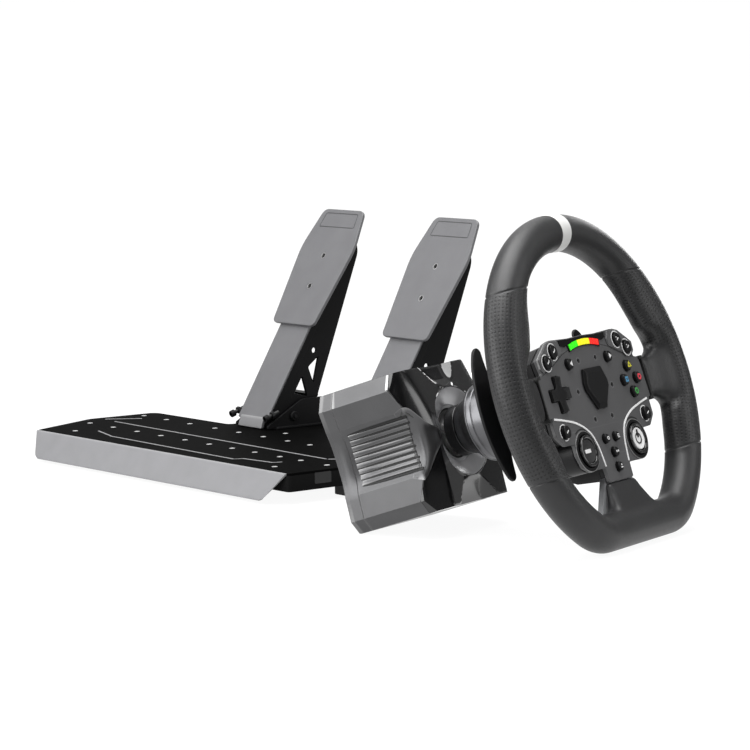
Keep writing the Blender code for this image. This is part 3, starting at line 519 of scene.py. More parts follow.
# ------------------------------------------------------------------ camera first
R_ = Vector((0.5375, -0.8431, -0.0179)).normalized()
B_ = Vector((-0.8367, -0.5358, 0.1130)).normalized()
U_ = B_.cross(R_).normalized()
cam_data = bpy.data.cameras.new("camera")
cam_data.lens, cam_data.sensor_width = 154.5, 36.0
cam_data.clip_end = 30
cam = bpy.data.objects.new("camera", cam_data)
SC.collection.objects.link(cam)
pos = HUB + 2497 * B_ - 170.94 * R_ + 10.22 * U_
cam.matrix_world = Matrix(((R_.x, U_.x, B_.x, pos.x * 0.001), (R_.y, U_.y, B_.y, pos.y * 0.001), (R_.z, U_.z, B_.z, pos.z * 0.001), (0, 0, 0, 1)))
SC.camera = cam

# ------------------------------------------------------------------ rim: leather over a D-shaped core
RIM_R, GRIP_R, RIM_FLAT, RIM_FILLET, RIM_Y = 125.3, 14.7, -110.0, 35.0, -0.65


def d_half(n_arc=260, n_fillet=70, n_flat=60):
    cz = RIM_FLAT + RIM_FILLET
    cx = math.sqrt((RIM_R - RIM_FILLET) ** 2 - cz ** 2)
    ang = math.degrees(math.atan2(cz, cx))
    pts = arc(0, 0, RIM_R, 90, ang, n_arc) + arc(cx, cz, RIM_FILLET, ang, -90, n_fillet)[1:]
    pts += [(cx * (1 - k / n_flat), RIM_FLAT) for k in range(1, n_flat + 1)]
    return pts


half = np.array(d_half())
LOOP = np.vstack([half, (half[::-1] * [-1, 1])[1:-1]])          # closed loop, top, right side, bottom, left side
step = np.linalg.norm(np.roll(LOOP, -1, 0) - LOOP, axis=1)
ARC = np.concatenate([[0], np.cumsum(step)[:-1]])
LEN = float(step.sum())
TAN = np.roll(LOOP, -1, 0) - np.roll(LOOP, 1, 0)
TAN /= np.linalg.norm(TAN, axis=1)[:, None]
OUT = np.stack([-TAN[:, 1], TAN[:, 0]], 1)                      # in-plane normal pointing away from the hub
if (OUT[0] * LOOP[0]).sum() < 0:
    OUT = -OUT


def nearest(P):
    """For points (N,3) in wheel millimetres: index on the loop, offset along the outward normal and across the plane."""
    idx = np.empty(len(P), int)
    for i in range(0, len(P), 4000):
        q = P[i:i + 4000][:, [0, 2]]
        idx[i:i + 4000] = ((q[:, None, :] - LOOP[None]) ** 2).sum(-1).argmin(1)
    d = P[:, [0, 2]] - LOOP[idx]
    along = (d * TAN[idx]).sum(1)
    return idx, (d * OUT[idx]).sum(1), P[:, 1] - RIM_Y, along


def smoothstep(x, a, b):
    t = np.clip((x - a) / (b - a), 0, 1)
    return t * t * (3 - 2 * t)


def superloop(hw, y0, y1, cx, n=48, e=0.55):
    """Rounded-box section: half width hw, from y0 to y1; list of (across, y)."""
    out = []
    for k in range(n):
        a = math.tau * k / n
        c, s = math.cos(a), math.sin(a)
        out.append((cx + hw * math.copysign(abs(c) ** e, c), (y0 + y1) / 2 + (y1 - y0) / 2 * math.copysign(abs(s) ** e, s)))
    return out


def make_leather():
    raw = Piece("raw")
    rows = []
    sel = range(0, len(LOOP), 3)
    for i in sel:
        rows.append([(LOOP[i][0] + OUT[i][0] * GRIP_R * math.cos(t), RIM_Y + GRIP_R * math.sin(t), LOOP[i][1] + OUT[i][1] * GRIP_R * math.cos(t))
                     for t in [math.tau * k / 48 for k in range(48)]])
    raw.grid(rows, None, close_u=True, close_v=True)
    raw_parts = [(raw.v, raw.f)]
    for sx in (1, -1):
        p = Piece("f")
        rows = []
        for x, hw, y0, y1 in [(84.6, 16.2, -0.6, 9.2), (86, 16.8, -1.2, 9.5), (92, 17.2, -2.2, 9.8), (98, 19.0, -4.0, 10.3), (104, 22.5, -6.8, 10.8), (110, 28, -9.6, 11.2), (117, 35, -10.8, 10.5)]:
            rows.append([(sx * x, y, z) for z, y in superloop(hw, y0, y1, 0)])
        p.grid(rows, None, close_u=True, caps=True)
        raw_parts.append((p.v, p.f))
    p = Piece("f")
    rows = []
    for z, hw, y0, y1 in [(-73.9, 20.6, 0.3, 9.6), (-75.5, 21.4, -0.4, 9.9), (-82, 23.4, -2.6, 10.2), (-90, 26.4, -5.6, 10.4), (-98, 30.2, -8.9, 10.4), (-104, 33.6, -11.4, 10), (-110, 37, -13.2, 9)]:
        rows.append([(x, y, z) for x, y in superloop(hw, y0, y1, 0, e=0.16)])
    p.grid(rows, None, close_u=True, caps=True)
    raw_parts.append((p.v, p.f))
    v, f = [], []
    for pv, pf in raw_parts:
        o = len(v)
        v += pv
        f += [tuple(i + o for i in q) for q in pf]
    me = bpy.data.meshes.new("rim_leather")
    me.from_pydata(v, [], f)
    bm = bmesh.new()
    bm.from_mesh(me)
    bmesh.ops.recalc_face_normals(bm, faces=bm.faces)
    bm.to_mesh(me)
    bm.free()
    ob = bpy.data.objects.new("rim_leather", me)
    SC.collection.objects.link(ob)
    md = ob.modifiers.new("r", "REMESH")
    md.mode = "VOXEL"
    md.voxel_size = 1.25
    md.adaptivity = 0.0
    new = bpy.data.meshes.new_from_object(ob.evaluated_get(bpy.context.evaluated_depsgraph_get()))
    ob.modifiers.clear()
    ob.data = new
    bpy.data.meshes.remove(me)
    me = ob.data
    n = len(me.vertices)
    co = np.empty(n * 3)
    me.vertices.foreach_get("co", co)
    co = co.reshape(-1, 3)
    ed = np.empty(len(me.edges) * 2, int)
    me.edges.foreach_get("vertices", ed)
    ed = ed.reshape(-1, 2)
    deg = np.bincount(ed.ravel(), minlength=n).astype(float)

    def average(x):
        return np.stack([(np.bincount(ed[:, 0], x[ed[:, 1], k], n) + np.bincount(ed[:, 1], x[ed[:, 0], k], n)) / deg for k in range(3)], 1)

    def influence(c):
        idx, o, y, al = nearest(c)
        rad = np.hypot(o, y)
        u = o / np.maximum(rad, 1e-6)
        side = (1 - smoothstep(np.abs(c[:, 2]), 30, 44)) * (np.abs(c[:, 0]) > 60)
        low = (1 - smoothstep(np.abs(c[:, 0]), 44, 60)) * (c[:, 2] < -60)
        inner = 1 - smoothstep(u, -0.15, 0.35)
        return np.maximum(side * inner, low * (1 - smoothstep(u, 0.05, 0.5))), idx, o, y, rad

    inf, idx, o, y, rad = influence(co)
    # soften the join; the spoke's outer end and its crease keep their edges
    ends = np.maximum((np.abs(co[:, 0]) < 90) & (np.abs(co[:, 2]) < 30), (co[:, 2] > -80) & (np.abs(co[:, 0]) < 30) & (co[:, 2] < 0)).astype(float)
    soft = inf * (1 - 0.85 * ends)
    crease = (co[:, 2] < 0) & (np.abs(co[:, 0]) < 60) & (co[:, 1] < 3) & (co[:, 2] < -60)
    ridge = smoothstep(co[:, 2], -104, -84) * crease
    soft = soft * (1 - 0.8 * ridge)
    for _ in range(34):
        co += (average(co) - co) * (0.6 * soft)[:, None]
    for _ in range(3):
        co += (average(co) - co) * (0.5 * inf)[:, None]
    # back onto the round grip away from the spokes
    inf2, idx, o, y, rad = influence(co)
    keep = 1 - smoothstep(inf2, 0.0, 0.5)
    k = (GRIP_R / np.maximum(rad, 1e-6) - 1) * keep
    base = LOOP[idx]
    off = co[:, [0, 2]] - base
    co[:, 0] += off[:, 0] * k
    co[:, 2] += off[:, 1] * k
    co[:, 1] += y * k
    # thumb rests: a swelling on the inner side above each spoke and a small one below
    _, o, y, _ = nearest(co)
    rad = np.hypot(o, y)
    u = -o / np.maximum(rad, 1e-6)
    face = np.clip(u * 0.85 - y / np.maximum(rad, 1e-6) * 0.30, 0, 1) ** 1.4
    zz = np.where(np.abs(co[:, 0]) > 55, co[:, 2], 0.0)
    bulge = 13.0 * smoothstep(zz, 19, 46) * (1 - smoothstep(zz, 54, 94)) * face
    bulge += 7.5 * smoothstep(-zz, 18, 34) * (1 - smoothstep(-zz, 40, 68)) * face
    sx = np.sign(co[:, 0])
    d2 = OUT[idx]
    co[:, 0] -= d2[:, 0] * bulge
    co[:, 2] -= d2[:, 1] * bulge
    me.vertices.foreach_set("co", co.ravel())
    # seams: loops cut exactly along each join, then pressed in
    bm = bmesh.new()
    bm.from_mesh(me)
    nrm = Vector((0, 0, 1))
    for z0, sgn in ((85.0, 1), (85.0, -1), (-61.0, 1), (-61.0, -1)):
        for t in (-1.0, -0.5, 0.0, 0.5, 1.0):
            fs = [f for f in bm.faces if abs(f.calc_center_median().z - z0) < 5 and f.calc_center_median().x * sgn > 58]
            es = {e for f in fs for e in f.edges}
            vs = {w for f in fs for w in f.verts}
            bmesh.ops.bisect_plane(bm, geom=list(vs) + list(es) + fs, plane_co=nrm * (z0 + t), plane_no=nrm, dist=0.02)
        for w in bm.verts:
            h = w.co.z - z0
            if abs(h) < 0.98 and w.co.x * sgn > 58:
                i = int(((LOOP - np.array([w.co.x, w.co.z])) ** 2).sum(1).argmin())
                r = w.co - Vector((LOOP[i][0], RIM_Y, LOOP[i][1]))
                w.co -= r.normalized() * 0.62 * (1 - (abs(h) / 1.0) ** 1.3)
    bmesh.ops.triangulate(bm, faces=[f for f in bm.faces if len(f.verts) > 4])
    bmesh.ops.recalc_face_normals(bm, faces=bm.faces)
    bm.to_mesh(me)
    bm.free()
    # position on the grip, for the punched pattern and its mask
    n = len(me.vertices)
    co = np.empty(n * 3)
    me.vertices.foreach_get("co", co)
    co = co.reshape(-1, 3)
    idx, o, y, al = nearest(co)
    s = ARC[idx] + al
    phi = np.arctan2(y, -o)                   # 0 on the inner side, the wrap lies outside
    cells = 31
    pitch = math.tau * GRIP_R / cells
    rows = round(LEN / pitch)
    uu, vv = s / LEN * rows, phi / math.tau * cells
    mask = smoothstep(co[:, 2], -59.6, -57.6) * (1 - smoothstep(co[:, 2], 81.6, 83.6)) * (np.abs(co[:, 0]) > 58)
    mask *= 1 - (1 - smoothstep(np.abs(co[:, 2]), 19, 27)) * smoothstep(-o, 8.5, 12.0)
    at = me.attributes.new("perf", "FLOAT", "POINT")
    at.data.foreach_set("value", mask.astype(np.float32))
    uvl = me.uv_layers.new(name="grip")
    lv = np.empty(len(me.loops), int)
    me.loops.foreach_get("vertex_index", lv)
    u_, v_ = uu[lv].copy(), vv[lv].copy()
    start = np.empty(len(me.polygons), int)
    tot = np.empty(len(me.polygons), int)
    me.polygons.foreach_get("loop_start", start)
    me.polygons.foreach_get("loop_total", tot)
    first = np.repeat(start, tot)
    order = np.concatenate([np.arange(a, a + t) for a, t in zip(start, tot)])
    for arr, per in ((u_, rows), (v_, cells)):
        d = arr[order] - arr[first]
        arr[order] -= np.round(d / per) * per
    uvl.data.foreach_set("uv", np.stack([u_, v_], 1).ravel().astype(np.float32))
    me.transform(WHEEL @ Matrix.Identity(4))
    me.transform(Matrix.Scale(0.001, 4))
    me.materials.clear()
    me.materials.append(M["leather"])
    me.shade_smooth()
    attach(ob, "steering")
    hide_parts("top_grip", "left_grip", "right_grip", "bottom_grip")
    return ob


make_leather()

# white marker band at the top of the rim, wrapped over the leather
p = Piece("marker_band")
rows = []
for a, r in [(-3.25, 14.2), (-3.22, 14.75), (-3.05, 15.0), (-2.6, 15.1), (-1.2, 15.12), (0, 15.12), (1.2, 15.12), (2.6, 15.1), (3.05, 15.0), (3.22, 14.75), (3.25, 14.2)]:
    t = math.radians(90 + a)
    d = (math.cos(t), math.sin(t))
    rows.append([(d[0] * (RIM_R + r * math.cos(k * math.tau / 64)), RIM_Y + r * math.sin(k * math.tau / 64), d[1] * (RIM_R + r * math.cos(k * math.tau / 64))) for k in range(64)])
p.grid(rows, M["band"], close_u=True, caps=True)
p.done("steering", ["top_marker"], angle=60)

# ------------------------------------------------------------------ front panel
PANEL_HALF = [(0, 43.0), (20.8, 42.4), (49.3, 43.4), (58, 41.5), (75.5, 30.5), (73, 18.7), (80.6, 17), (82.4, -15.5), (78.5, -17.5),
              (78.5, -30), (69, -38.2), (56, -38.6), (56.2, -47), (52.0, -57.5), (42, -62.3), (30, -61.8), (19.8, -61.7), (19.3, -73.6), (0, -73.6)]
BUTTONS = {
    "button_n": (-31, 22.3, 4.3), "button_p": (31, 22.3, 4.3), "button_top": (57.0, 12.0, 4.4), "button_left": (46.6, 1.3, 4.4),
    "button_right": (67.4, 1.3, 4.4), "button_bottom": (57.0, -9.2, 4.4), "upper_button_l1": (-51, 34, 5.2), "upper_button_l2": (-64, 26.4, 5.2),
    "upper_button_r1": (51, 34, 5.2), "upper_button_r2": (64, 26.4, 5.2), "lower_button_l": (-65, -28, 5.0), "lower_button_r": (65, -28, 5.0),
    "centre_button_1": (-8.2, -40, 3.6), "centre_button_2": (8.2, -40, 3.6), "centre_button_3": (0, -51.5, 3.9), "centre_button_4": (0, -63.3, 3.7),
    "round_button_l": (-40.2, -46, 12.6), "round_button_r": (40.2, -46, 12.6)}
SCREWS = [(27.25 * math.cos(math.radians(60 * i)), 27.25 * math.sin(math.radians(60 * i))) for i in range(6)]
TRIM = [(75, -16.5), (62, -18.8), (48, -22), (38.5, -25.6), (32, -29.2), (26.5, -34), (22.8, -40.5), (20.4, -48.5), (18.6, -60.9)]
GROOVE = [(0, 35.4), (12.3, 34.9), (24, 33.3), (36, 30.5), (45, 27.0), (57, 22.4), (73.2, 17.8)]


def cross(cx, cz, a, w, g=0.0):
    a, w = a + g, w + g
    return [(cx + x, cz + z) for x, z in [(w, w), (w, a), (-w, a), (-w, w), (-a, w), (-a, -w), (-w, -w), (-w, -a), (w, -a), (w, -w), (a, -w), (a, w)]]


holes = [circle(x, z, r + 0.35, 48) for x, z, r in BUTTONS.values()] + [rounded(cross(-56.5, 1.0, 14.2, 4.6, 0.35), 0.8, 3)]
holes += [circle(x, z, 2.0, 24) for x, z in SCREWS]
p = Piece("front_panel")
p.plate(rounded(mirrored(PANEL_HALF), 1.6), 0, 3, M["panel"], holes, bevel=0.4)
p.done("steering", ["front_plate"], weighted=True)

# upper pods: raised plates with a broad bright chamfer, and the groove between them and the plate, drawn as a thin
# strip painted dark for the shade in the groove
groove_full = [(-x, z) for x, z in reversed(catmull(GROOVE, 8))][:-1] + catmull(GROOVE, 8)
p = Piece("panel_grooves")
p.plate(strip(groove_full, 0.55), -0.06, 0.02, M["dark"], bevel=0)
# the arcs round the round buttons are the same painted groove shade
for sx in (-1, 1):
    x, z, r = BUTTONS["round_button_" + ("l" if sx < 0 else "r")]
    a0, a1 = (58, 160) if sx > 0 else (122, 20)
    p.plate(strip(arc(x, z, 17.6, a0, a1, 20), 1.3), -0.08, 0.02, M["dark"], bevel=0)
p.done("steering")
for side, sx in (("left", -1), ("right", 1)):
    low = [q for q in catmull(GROOVE, 6) if 37.5 < q[0] < 72.5]
    low = [(x, z + 0.9) for x, z in low]
    outline = low + [(73.9, 22.0), (75.0, 30.2), (69.3, 34.0), (58, 41.1), (49.3, 42.9), (40.5, 42.5), (36.6, 36.5)]
    pod = [(sx * x, z) for x, z in outline]
    hs = [circle(BUTTONS["upper_button_%s%d" % (side[0], i)][0], BUTTONS["upper_button_%s%d" % (side[0], i)][1], 5.75, 40) for i in (1, 2)]
    p = Piece(side + "_upper_pod")
    p.plate(pod, -1.4, 0.25, M["panel"], hs, bevel=1.0, res=0)
    p.done("steering", angle=25, weighted=True)
    # bright outer edge: a strip painted light as the highlight along the pod's outer edge
    p = Piece(side + "_pod_edge")
    p.plate(strip([(sx * x, z) for x, z in [(74.6, 23.0), (75.1, 30.0), (69.3, 33.8), (58, 40.9), (50.5, 42.6)]], 1.5), -0.75, 0.3, M["panel_edge"], bevel=0.45, res=2)
    p.done("steering", weighted=True)

# gloss visor strip between the pods and the light bar set in it
top = [(x, z) for x, z in [(-36.5, 42.0), (-20.8, 41.7), (0, 42.3), (20.8, 41.7), (36.5, 42.0)]]
low = arc(0, -60, 94.0, 90 - 17.0, 90 + 17.0, 28)
p = Piece("visor")
p.plate([(35.6, 37.5)] + top[::-1] + [(-35.6, 37.5)] + [(x, z) for x, z in reversed(arc(0, -60, 100.3, 73, 107, 28))], -0.8, 0.12, M["visor"], bevel=0.3)
p.done("steering", weighted=True)
p = Piece("rev_lights")
for i in range(10):
    a1, a0 = 103.8 - 2.76 * i - 0.12, 103.8 - 2.76 * (i + 1) + 0.12
    c = M["led_green"] if i < 3 else M["led_yellow"] if i < 7 else M["led_red"]
    p.plate(arc(0, -60, 99.9, a1, a0, 4) + arc(0, -60, 95.2, a0, a1, 4), -1.5, -0.2, c, bevel=0.35)
p.done("steering", ["rev_light_lens"], weighted=True)
p = Piece("light_bar_frame")
p.plate(arc(0, -60, 100.6, 104.6, 75.4, 24) + arc(0, -60, 94.4, 75.4, 104.6, 24), -1.0, 0.1, M["visor"],
        [arc(0, -60, 100.0, 103.9, 76.1, 24) + arc(0, -60, 95.0, 76.1, 103.9, 24)], bevel=0.2)
p.done("steering", weighted=True)

# white trim lines
p = Piece("white_trims")
for sx in (-1, 1):
    p.plate(strip([(sx * x, z) for x, z in catmull(TRIM, 8)], 1.7), -0.55, 0.1, M["white"], bevel=0.35)
p.done("steering", weighted=True)

# hub screws: countersunk socket heads
p = Piece("hub_screws")
for x, z in SCREWS:
    p.turn([(0, 1.5), (0.95, 1.5), (0.95, 0.55), (1.75, 0.25), (1.85, 0.6), (1.85, 2.6), (0, 2.6)], M["dark"], (x, z), steps=24)
    p.turn([(1.95, -0.05), (2.9, -0.05), (2.9, 0.02), (1.95, 0.6)], M["panel"], (x, z), steps=32)
p.done("steering")

# printed rings around the shoulder buttons
p = Piece("button_rings")
for side in "lr":
    sx = -1 if side == "l" else 1
    c1, c2 = BUTTONS["upper_button_%s1" % side][:2], BUTTONS["upper_button_%s2" % side][:2]
    for (x, z), a0, a1 in ((c1, 250, 560) if sx < 0 else (c1, -20, 290), (c2, 70, 385) if sx < 0 else (c2, 155, 470)):
        p.plate(strip(arc(x, z, 6.7, a0, a1, 44), 0.85), -1.52, -1.3, M["white"], bevel=0.06)
    mid = Vector(c1).lerp(Vector(c2), 0.5)
    d = (Vector(c2) - Vector(c1)).normalized()
    p.plate(strip([tuple(mid - d * 1.3), tuple(mid + d * 1.3)], 0.85), -1.52, -1.3, M["white"], bevel=0.06)
    x, z = BUTTONS["lower_button_%s" % side][:2]
    for a0, a1 in ((60, 215), (250, 395)):
        p.plate(strip(arc(x, z, 6.3, a0, a1, 30), 0.8), -0.12, 0.05, M["white"], bevel=0.05)
p.done("steering")

# buttons
for name, (x, z, r) in BUTTONS.items():
    p = Piece(name + "_detail")
    if name.startswith(("upper", "lower")):
        p.turn([(0, -3.0), (r * 0.55, -3.1), (r * 0.86, -3.38), (r, -2.9), (r, 2.8), (0, 2.8)], M["satin"], (x, z), steps=48, r=0.5)
        sx = 1 if x > 0 else -1
        p.plate([(x + a, z + b) for a, b in strip([(-1.5, -0.9), (1.5, 0.9)], 0.9)], -3.22, -2.9, M["white"], bevel=0.05)
        if name.startswith("upper"):
            p.plate(circle(x - 1.5 * sx, z + 1.7, 0.55, 16), -3.2, -2.9, M["white"], bevel=0.05)
    elif name.startswith("round"):
        # bezel ring, recessed ring and a dished disc with a plain mark
        p.turn([(9.4, -1.2), (9.9, -2.6), (11.0, -3.4), (12.2, -3.1), (12.6, -2.0), (12.6, 6.8), (9.4, 6.8)], M["gloss"], (x, z), steps=80, r=0.3)
        p.turn([(0, -0.3), (4, -0.55), (7.5, -1.2), (9.2, -1.9), (9.2, 6.6), (0, 6.6)], M["soft"], (x, z), steps=80, r=0.2)
        if name.endswith("l"):
            p.plate(rounded([(x - 4.3, z - 1.5), (x + 4.3, z - 1.5), (x + 4.3, z + 1.5), (x - 4.3, z + 1.5)], 0.4), -1.15, -0.3, M["white"], bevel=0.05)
        else:
            p.turn([(0, -1.6), (6.0, -1.95), (8.3, -2.35), (8.8, -2.0), (8.8, -0.5), (0, -0.5)], M["white"], (x, z), steps=64, r=0.15)
            p.turn([(3.4, -2.05), (4.6, -2.15), (4.6, -1.2), (3.4, -1.2)], M["dark"], (x, z), steps=48)
            p.plate(rounded([(x - 0.9, z + 0.8), (x + 0.9, z + 0.8), (x + 0.9, z + 7.2), (x - 0.9, z + 7.2)], 0.2), -2.5, -1.2, M["dark"], bevel=0.05)
    else:
        key = {"button_top": "yellow", "button_left": "blue", "button_right": "red", "button_bottom": "green"}.get(name)
        body = M["satin"]
        p.turn([(0, -3.4), (r * 0.5, -3.36), (r * 0.8, -3.1), (r * 0.95, -2.6), (r, -1.9), (r, 6.9), (0, 6.9)], body, (x, z), steps=56, r=0.25)
        if key:
            p.turn([(0, -3.46), (r * 0.62, -3.4), (r * 0.7, -3.1), (0, -3.1)], M["cap_" + key], (x, z), steps=40)
            shape = {"yellow": circle(x, z, 1.6, 3, math.radians(90)), "blue": circle(x, z, 1.45, 4, math.radians(45)),
                     "red": circle(x, z, 1.3, 24), "green": circle(x, z, 1.5, 6)}[key]
            ring = {"yellow": circle(x, z, 3.3, 3, math.radians(90)), "blue": circle(x, z, 2.95, 4, math.radians(45)),
                    "red": circle(x, z, 2.6, 28), "green": circle(x, z, 2.8, 6)}[key]
            p.plate(ring, -3.62, -3.3, M["mark_" + key], [shape], bevel=0.04)
        elif name in ("button_n", "button_p"):
            sx = 1 if name == "button_p" else -1
            p.plate([(x + sx * 2.2, z), (x - sx * 1.4, z + 2.2), (x - sx * 1.4, z - 2.2)], -3.55, -3.25, M["white"], bevel=0.04)
        else:
            marks = {"centre_button_1": [circle(x, z, 1.5, 24)], "centre_button_2": [[(x - 1.5, z + q), (x + 1.5, z + q), (x + 1.5, z + q + 0.6), (x - 1.5, z + q + 0.6)] for q in (-1.5, -0.3, 0.9)],
                     "centre_button_3": [[(x - 2.0, z - 0.7), (x - 0.5, z - 0.7), (x - 0.5, z + 0.8), (x - 2.0, z + 0.8)], [(x + 0.5, z - 0.7), (x + 2.0, z - 0.7), (x + 2.0, z + 0.8), (x + 0.5, z + 0.8)]],
                     "centre_button_4": [[(x - 1.6, z - 1.5), (x + 1.6, z - 1.5), (x + 1.6, z - 0.7), (x - 1.6, z - 0.7)], circle(x, z + 0.9, 0.75, 16)]}[name]
            for k, mk in enumerate(marks):
                hole = [circle(x, z, 0.8, 20)] if name == "centre_button_1" else []
                p.plate(mk, -3.55, -3.3, M["white"], hole, bevel=0.04)
    p.done(name + "_cap", [name], angle=32)

# direction pad: one dished cross
DX, DZ, DA, DW = -56.5, 1.0, 14.2, 4.6
p = Piece("direction_pad_detail")
p.plate(rounded(cross(DX, DZ, DA, DW), 1.1, 4), -1.6, 6.8, M["satin"], bevel=0.5)
for k in range(4):
    c, s = math.cos(k * math.pi / 2), math.sin(k * math.pi / 2)
    rows = []
    for i in range(13):
        t = 3.2 + (DA - 0.5 - 3.2) * i / 12
        h = -1.5 - 1.15 * (i / 12) ** 1.3
        if i == 12:
            h += 0.25
        row = []
        for j in range(9):
            w = (DW - 0.35) * (j / 4 - 1)
            y = h + 0.5 * (1 - abs(j / 4 - 1) ** 2) * (1 if i < 11 else 0.6) * 0.7
            row.append((DX + t * c - w * s, y, DZ + t * s + w * c))
        rows.append(row)
    base = [[(q[0], -1.2, q[2]) for q in r] for r in rows]
    n, m = len(rows), 9
    v = [q for r in rows for q in r] + [q for r in base for q in r]
    f = []
    o = n * m
    for i in range(n - 1):
        for j in range(m - 1):
            a, b, d, e = i * m + j, i * m + j + 1, (i + 1) * m + j + 1, (i + 1) * m + j
            f += [(a, b, d, e), (a + o, e + o, d + o, b + o)]
    for i in range(n - 1):
        f += [(i * m, (i + 1) * m, (i + 1) * m + o, i * m + o), (i * m + m - 1, i * m + m - 1 + o, (i + 1) * m + m - 1 + o, (i + 1) * m + m - 1)]
    for j in range(m - 1):
        f += [(j, j + o, j + 1 + o, j + 1), ((n - 1) * m + j, (n - 1) * m + j + 1, (n - 1) * m + j + 1 + o, (n - 1) * m + j + o)]
    p.put(v, f, M["satin"])
p.done("dpad", ["direction_pad"], angle=40)

# centre cap: faceted shield with a chamfered head and foot
p = Piece("centre_cap_detail")
outl = mirrored([(0, 16.6), (13.9, 16.4), (18.1, 5), (17.5, -0.5), (6.6, -16.7), (0, -16.9)])
outl = [q for q in outl if abs(q[0]) > 0.01]
topo = mirrored([(12.6, 12.2), (16.0, 4.6), (15.5, 0.0), (5.9, -12.6)])
mid_ = inset(outl, 0.35)


def loft(p, rings, mat):
    n = len(rings[0][1])
    v = [(x, y, z) for y, ring in rings for x, z in ring]
    f = [tuple(range(n)), tuple((len(rings) - 1) * n + k for k in range(n))[::-1]]
    for i in range(len(rings) - 1):
        for k in range(n):
            f.append((i * n + k, i * n + (k + 1) % n, (i + 1) * n + (k + 1) % n, (i + 1) * n + k))
    p.put(v, f, mat)


loft(p, [(-0.3, outl), (-1.9, outl), (-3.6, topo)], M["satin"])
p.done("steering", ["centre_cap"], angle=20, bevel=0.35)

# side clips beside the leather spokes
p = Piece("panel_side_clips")
for sx in (-1, 1):
    x0, x1 = sorted((sx * 82.6, sx * 84.2))
    p.plate(rounded([(x0, -16.2), (x1, -16.2), (x1, 16.6), (x0, 16.6)], 0.5), -1.3, 9.0, M["dark"], bevel=0.35)
    x0, x1 = sorted((sx * 79.5, sx * 83.8))
    for z0, z1 in ((15.0, 17.8), (-18.4, -15.6)):
        p.plate(rounded([(x0, z0), (x1, z0), (x1, z1), (x0, z1)], 0.5), -1.6, 7.0, M["dark"], bevel=0.35)
p.done("steering", weighted=True)

# electronics housing behind the panel, with the two button pods
SHELL_HALF = [(0, 40.5), (20, 39.9), (48, 41), (56.5, 39.2), (72.5, 29.3), (70.4, 16.6), (78, 14.8), (79.6, -13.6), (76, -16), (76, -28.6), (68, -35.6), (53.5, -36),
              (50, -58), (17.5, -59.2), (17, -71.4), (0, -71.4)]
p = Piece("rim_housing_detail")
so = [q for q in mirrored(SHELL_HALF) if abs(q[0]) > 0.01]
def scaled(k):
    return [(x * k, z * k) for x, z in so]
loft(p, [(4.4, scaled(1.0)), (7.0, scaled(1.0)), (7.0, scaled(0.985)), (8.2, scaled(0.985)), (8.2, scaled(0.997)), (30, scaled(0.955)), (38, scaled(0.90))], M["black"])
p.done("steering", ["rim_housing"], angle=30, bevel=0.8)
p = Piece("button_pods")
for sx in (-1, 1):
    c = (sx * 40.2, -46)
    p.turn([(13.1, 3.2), (15.7, 3.2), (15.9, 4.0), (15.7, 16.5), (15.2, 16.9), (15.2, 17.7), (15.6, 18.1), (15.3, 40), (14.2, 46.3), (12, 47), (0, 47), (0, 20), (13.1, 20)], M["black"], c, steps=80, r=0.25)
    p.turn([(13.0, -0.1), (13.4, -1.1), (15.4, -1.1), (16.0, -0.4), (16.0, 0.2), (13.0, 0.2)], M["satin"], c, steps=80, r=0.15)
    # thin ring painted light as the highlight on the pod's front edge
    p.turn([(15.75, -0.75), (16.15, -0.75), (16.3, -0.2), (15.75, -0.2)], M["panel_edge"], c, steps=80)
p.done("steering", angle=40)
p = Piece("housing_back_screws")
for x, z in [(-58, 24), (58, 24), (-60, -20), (60, -20), (-34, 30), (34, 30)]:
    p.turn([(0, 37.6), (1.0, 37.6), (1.0, 38.5), (2.1, 38.5), (2.1, 37.0), (0, 37.0)], M["steel"], (x, z), steps=24, r=0.15)
p.done("steering")

# ------------------------------------------------------------------ hub: adapter, quick release, paddles
p = Piece("wheel_adapter_detail")
p.turn([(0, 38.4), (23.5, 38.4), (26, 40.6), (26, 60), (26.6, 61), (30, 65), (30, 74), (29.4, 74.6), (29.4, 75.6), (0, 75.6)], M["anodised"], steps=112, r=0.5)
p.turn([(0, 75.8), (29.6, 75.8), (30.6, 76.6), (31.4, 90.0), (31.4, 96.6), (31.0, 96.9), (31.0, 97.4), (31.4, 97.7), (31.4, 101.9), (0, 101.9)], M["cone"], steps=128, r=0.3)
p.done("steering", ["wheel_adapter"], angle=32)
p = Piece("paddle_bracket_detail")
p.plate(rounded([(-42, -30), (42, -30), (42, 30), (-42, 30)], 5), 40.3, 43.0, M["bracket"], [circle(0, 0, 26.5, 64)] + [circle(sx * 35, sz * 24, 2.0, 20) for sx in (1, -1) for sz in (1, -1)], bevel=0.5)
for sx in (1, -1):
    for sz in (1, -1):
        x0, x1 = sorted((sx * 29, sx * 37))
        z0, z1 = sorted((sz * 12.3, sz * 16))
        p.plate(rounded([(x0, z0), (x1, z0), (x1, z1), (x0, z1)], 0.6), 42.6, 51.0, M["bracket"], bevel=0.5)
        p.turn([(0, 39.4), (1.1, 39.4), (1.1, 38.9), (2.4, 38.9), (2.6, 39.3), (2.6, 40.4), (0, 40.4)], M["steel"], (sx * 35, sz * 24), steps=28)
p.done("steering", ["paddle_bracket"], weighted=True)
BLADE = [(31, -9), (62, -9), (70, -24), (73, -40), (73.5, -50), (78, -53), (83, -50), (89, -40), (94, -25), (97, -10), (97, 10), (94.5, 25),
         (90, 40), (83.5, 51), (78, 54), (73.5, 51), (73, 40), (70, 24), (62, 9), (31, 9)]
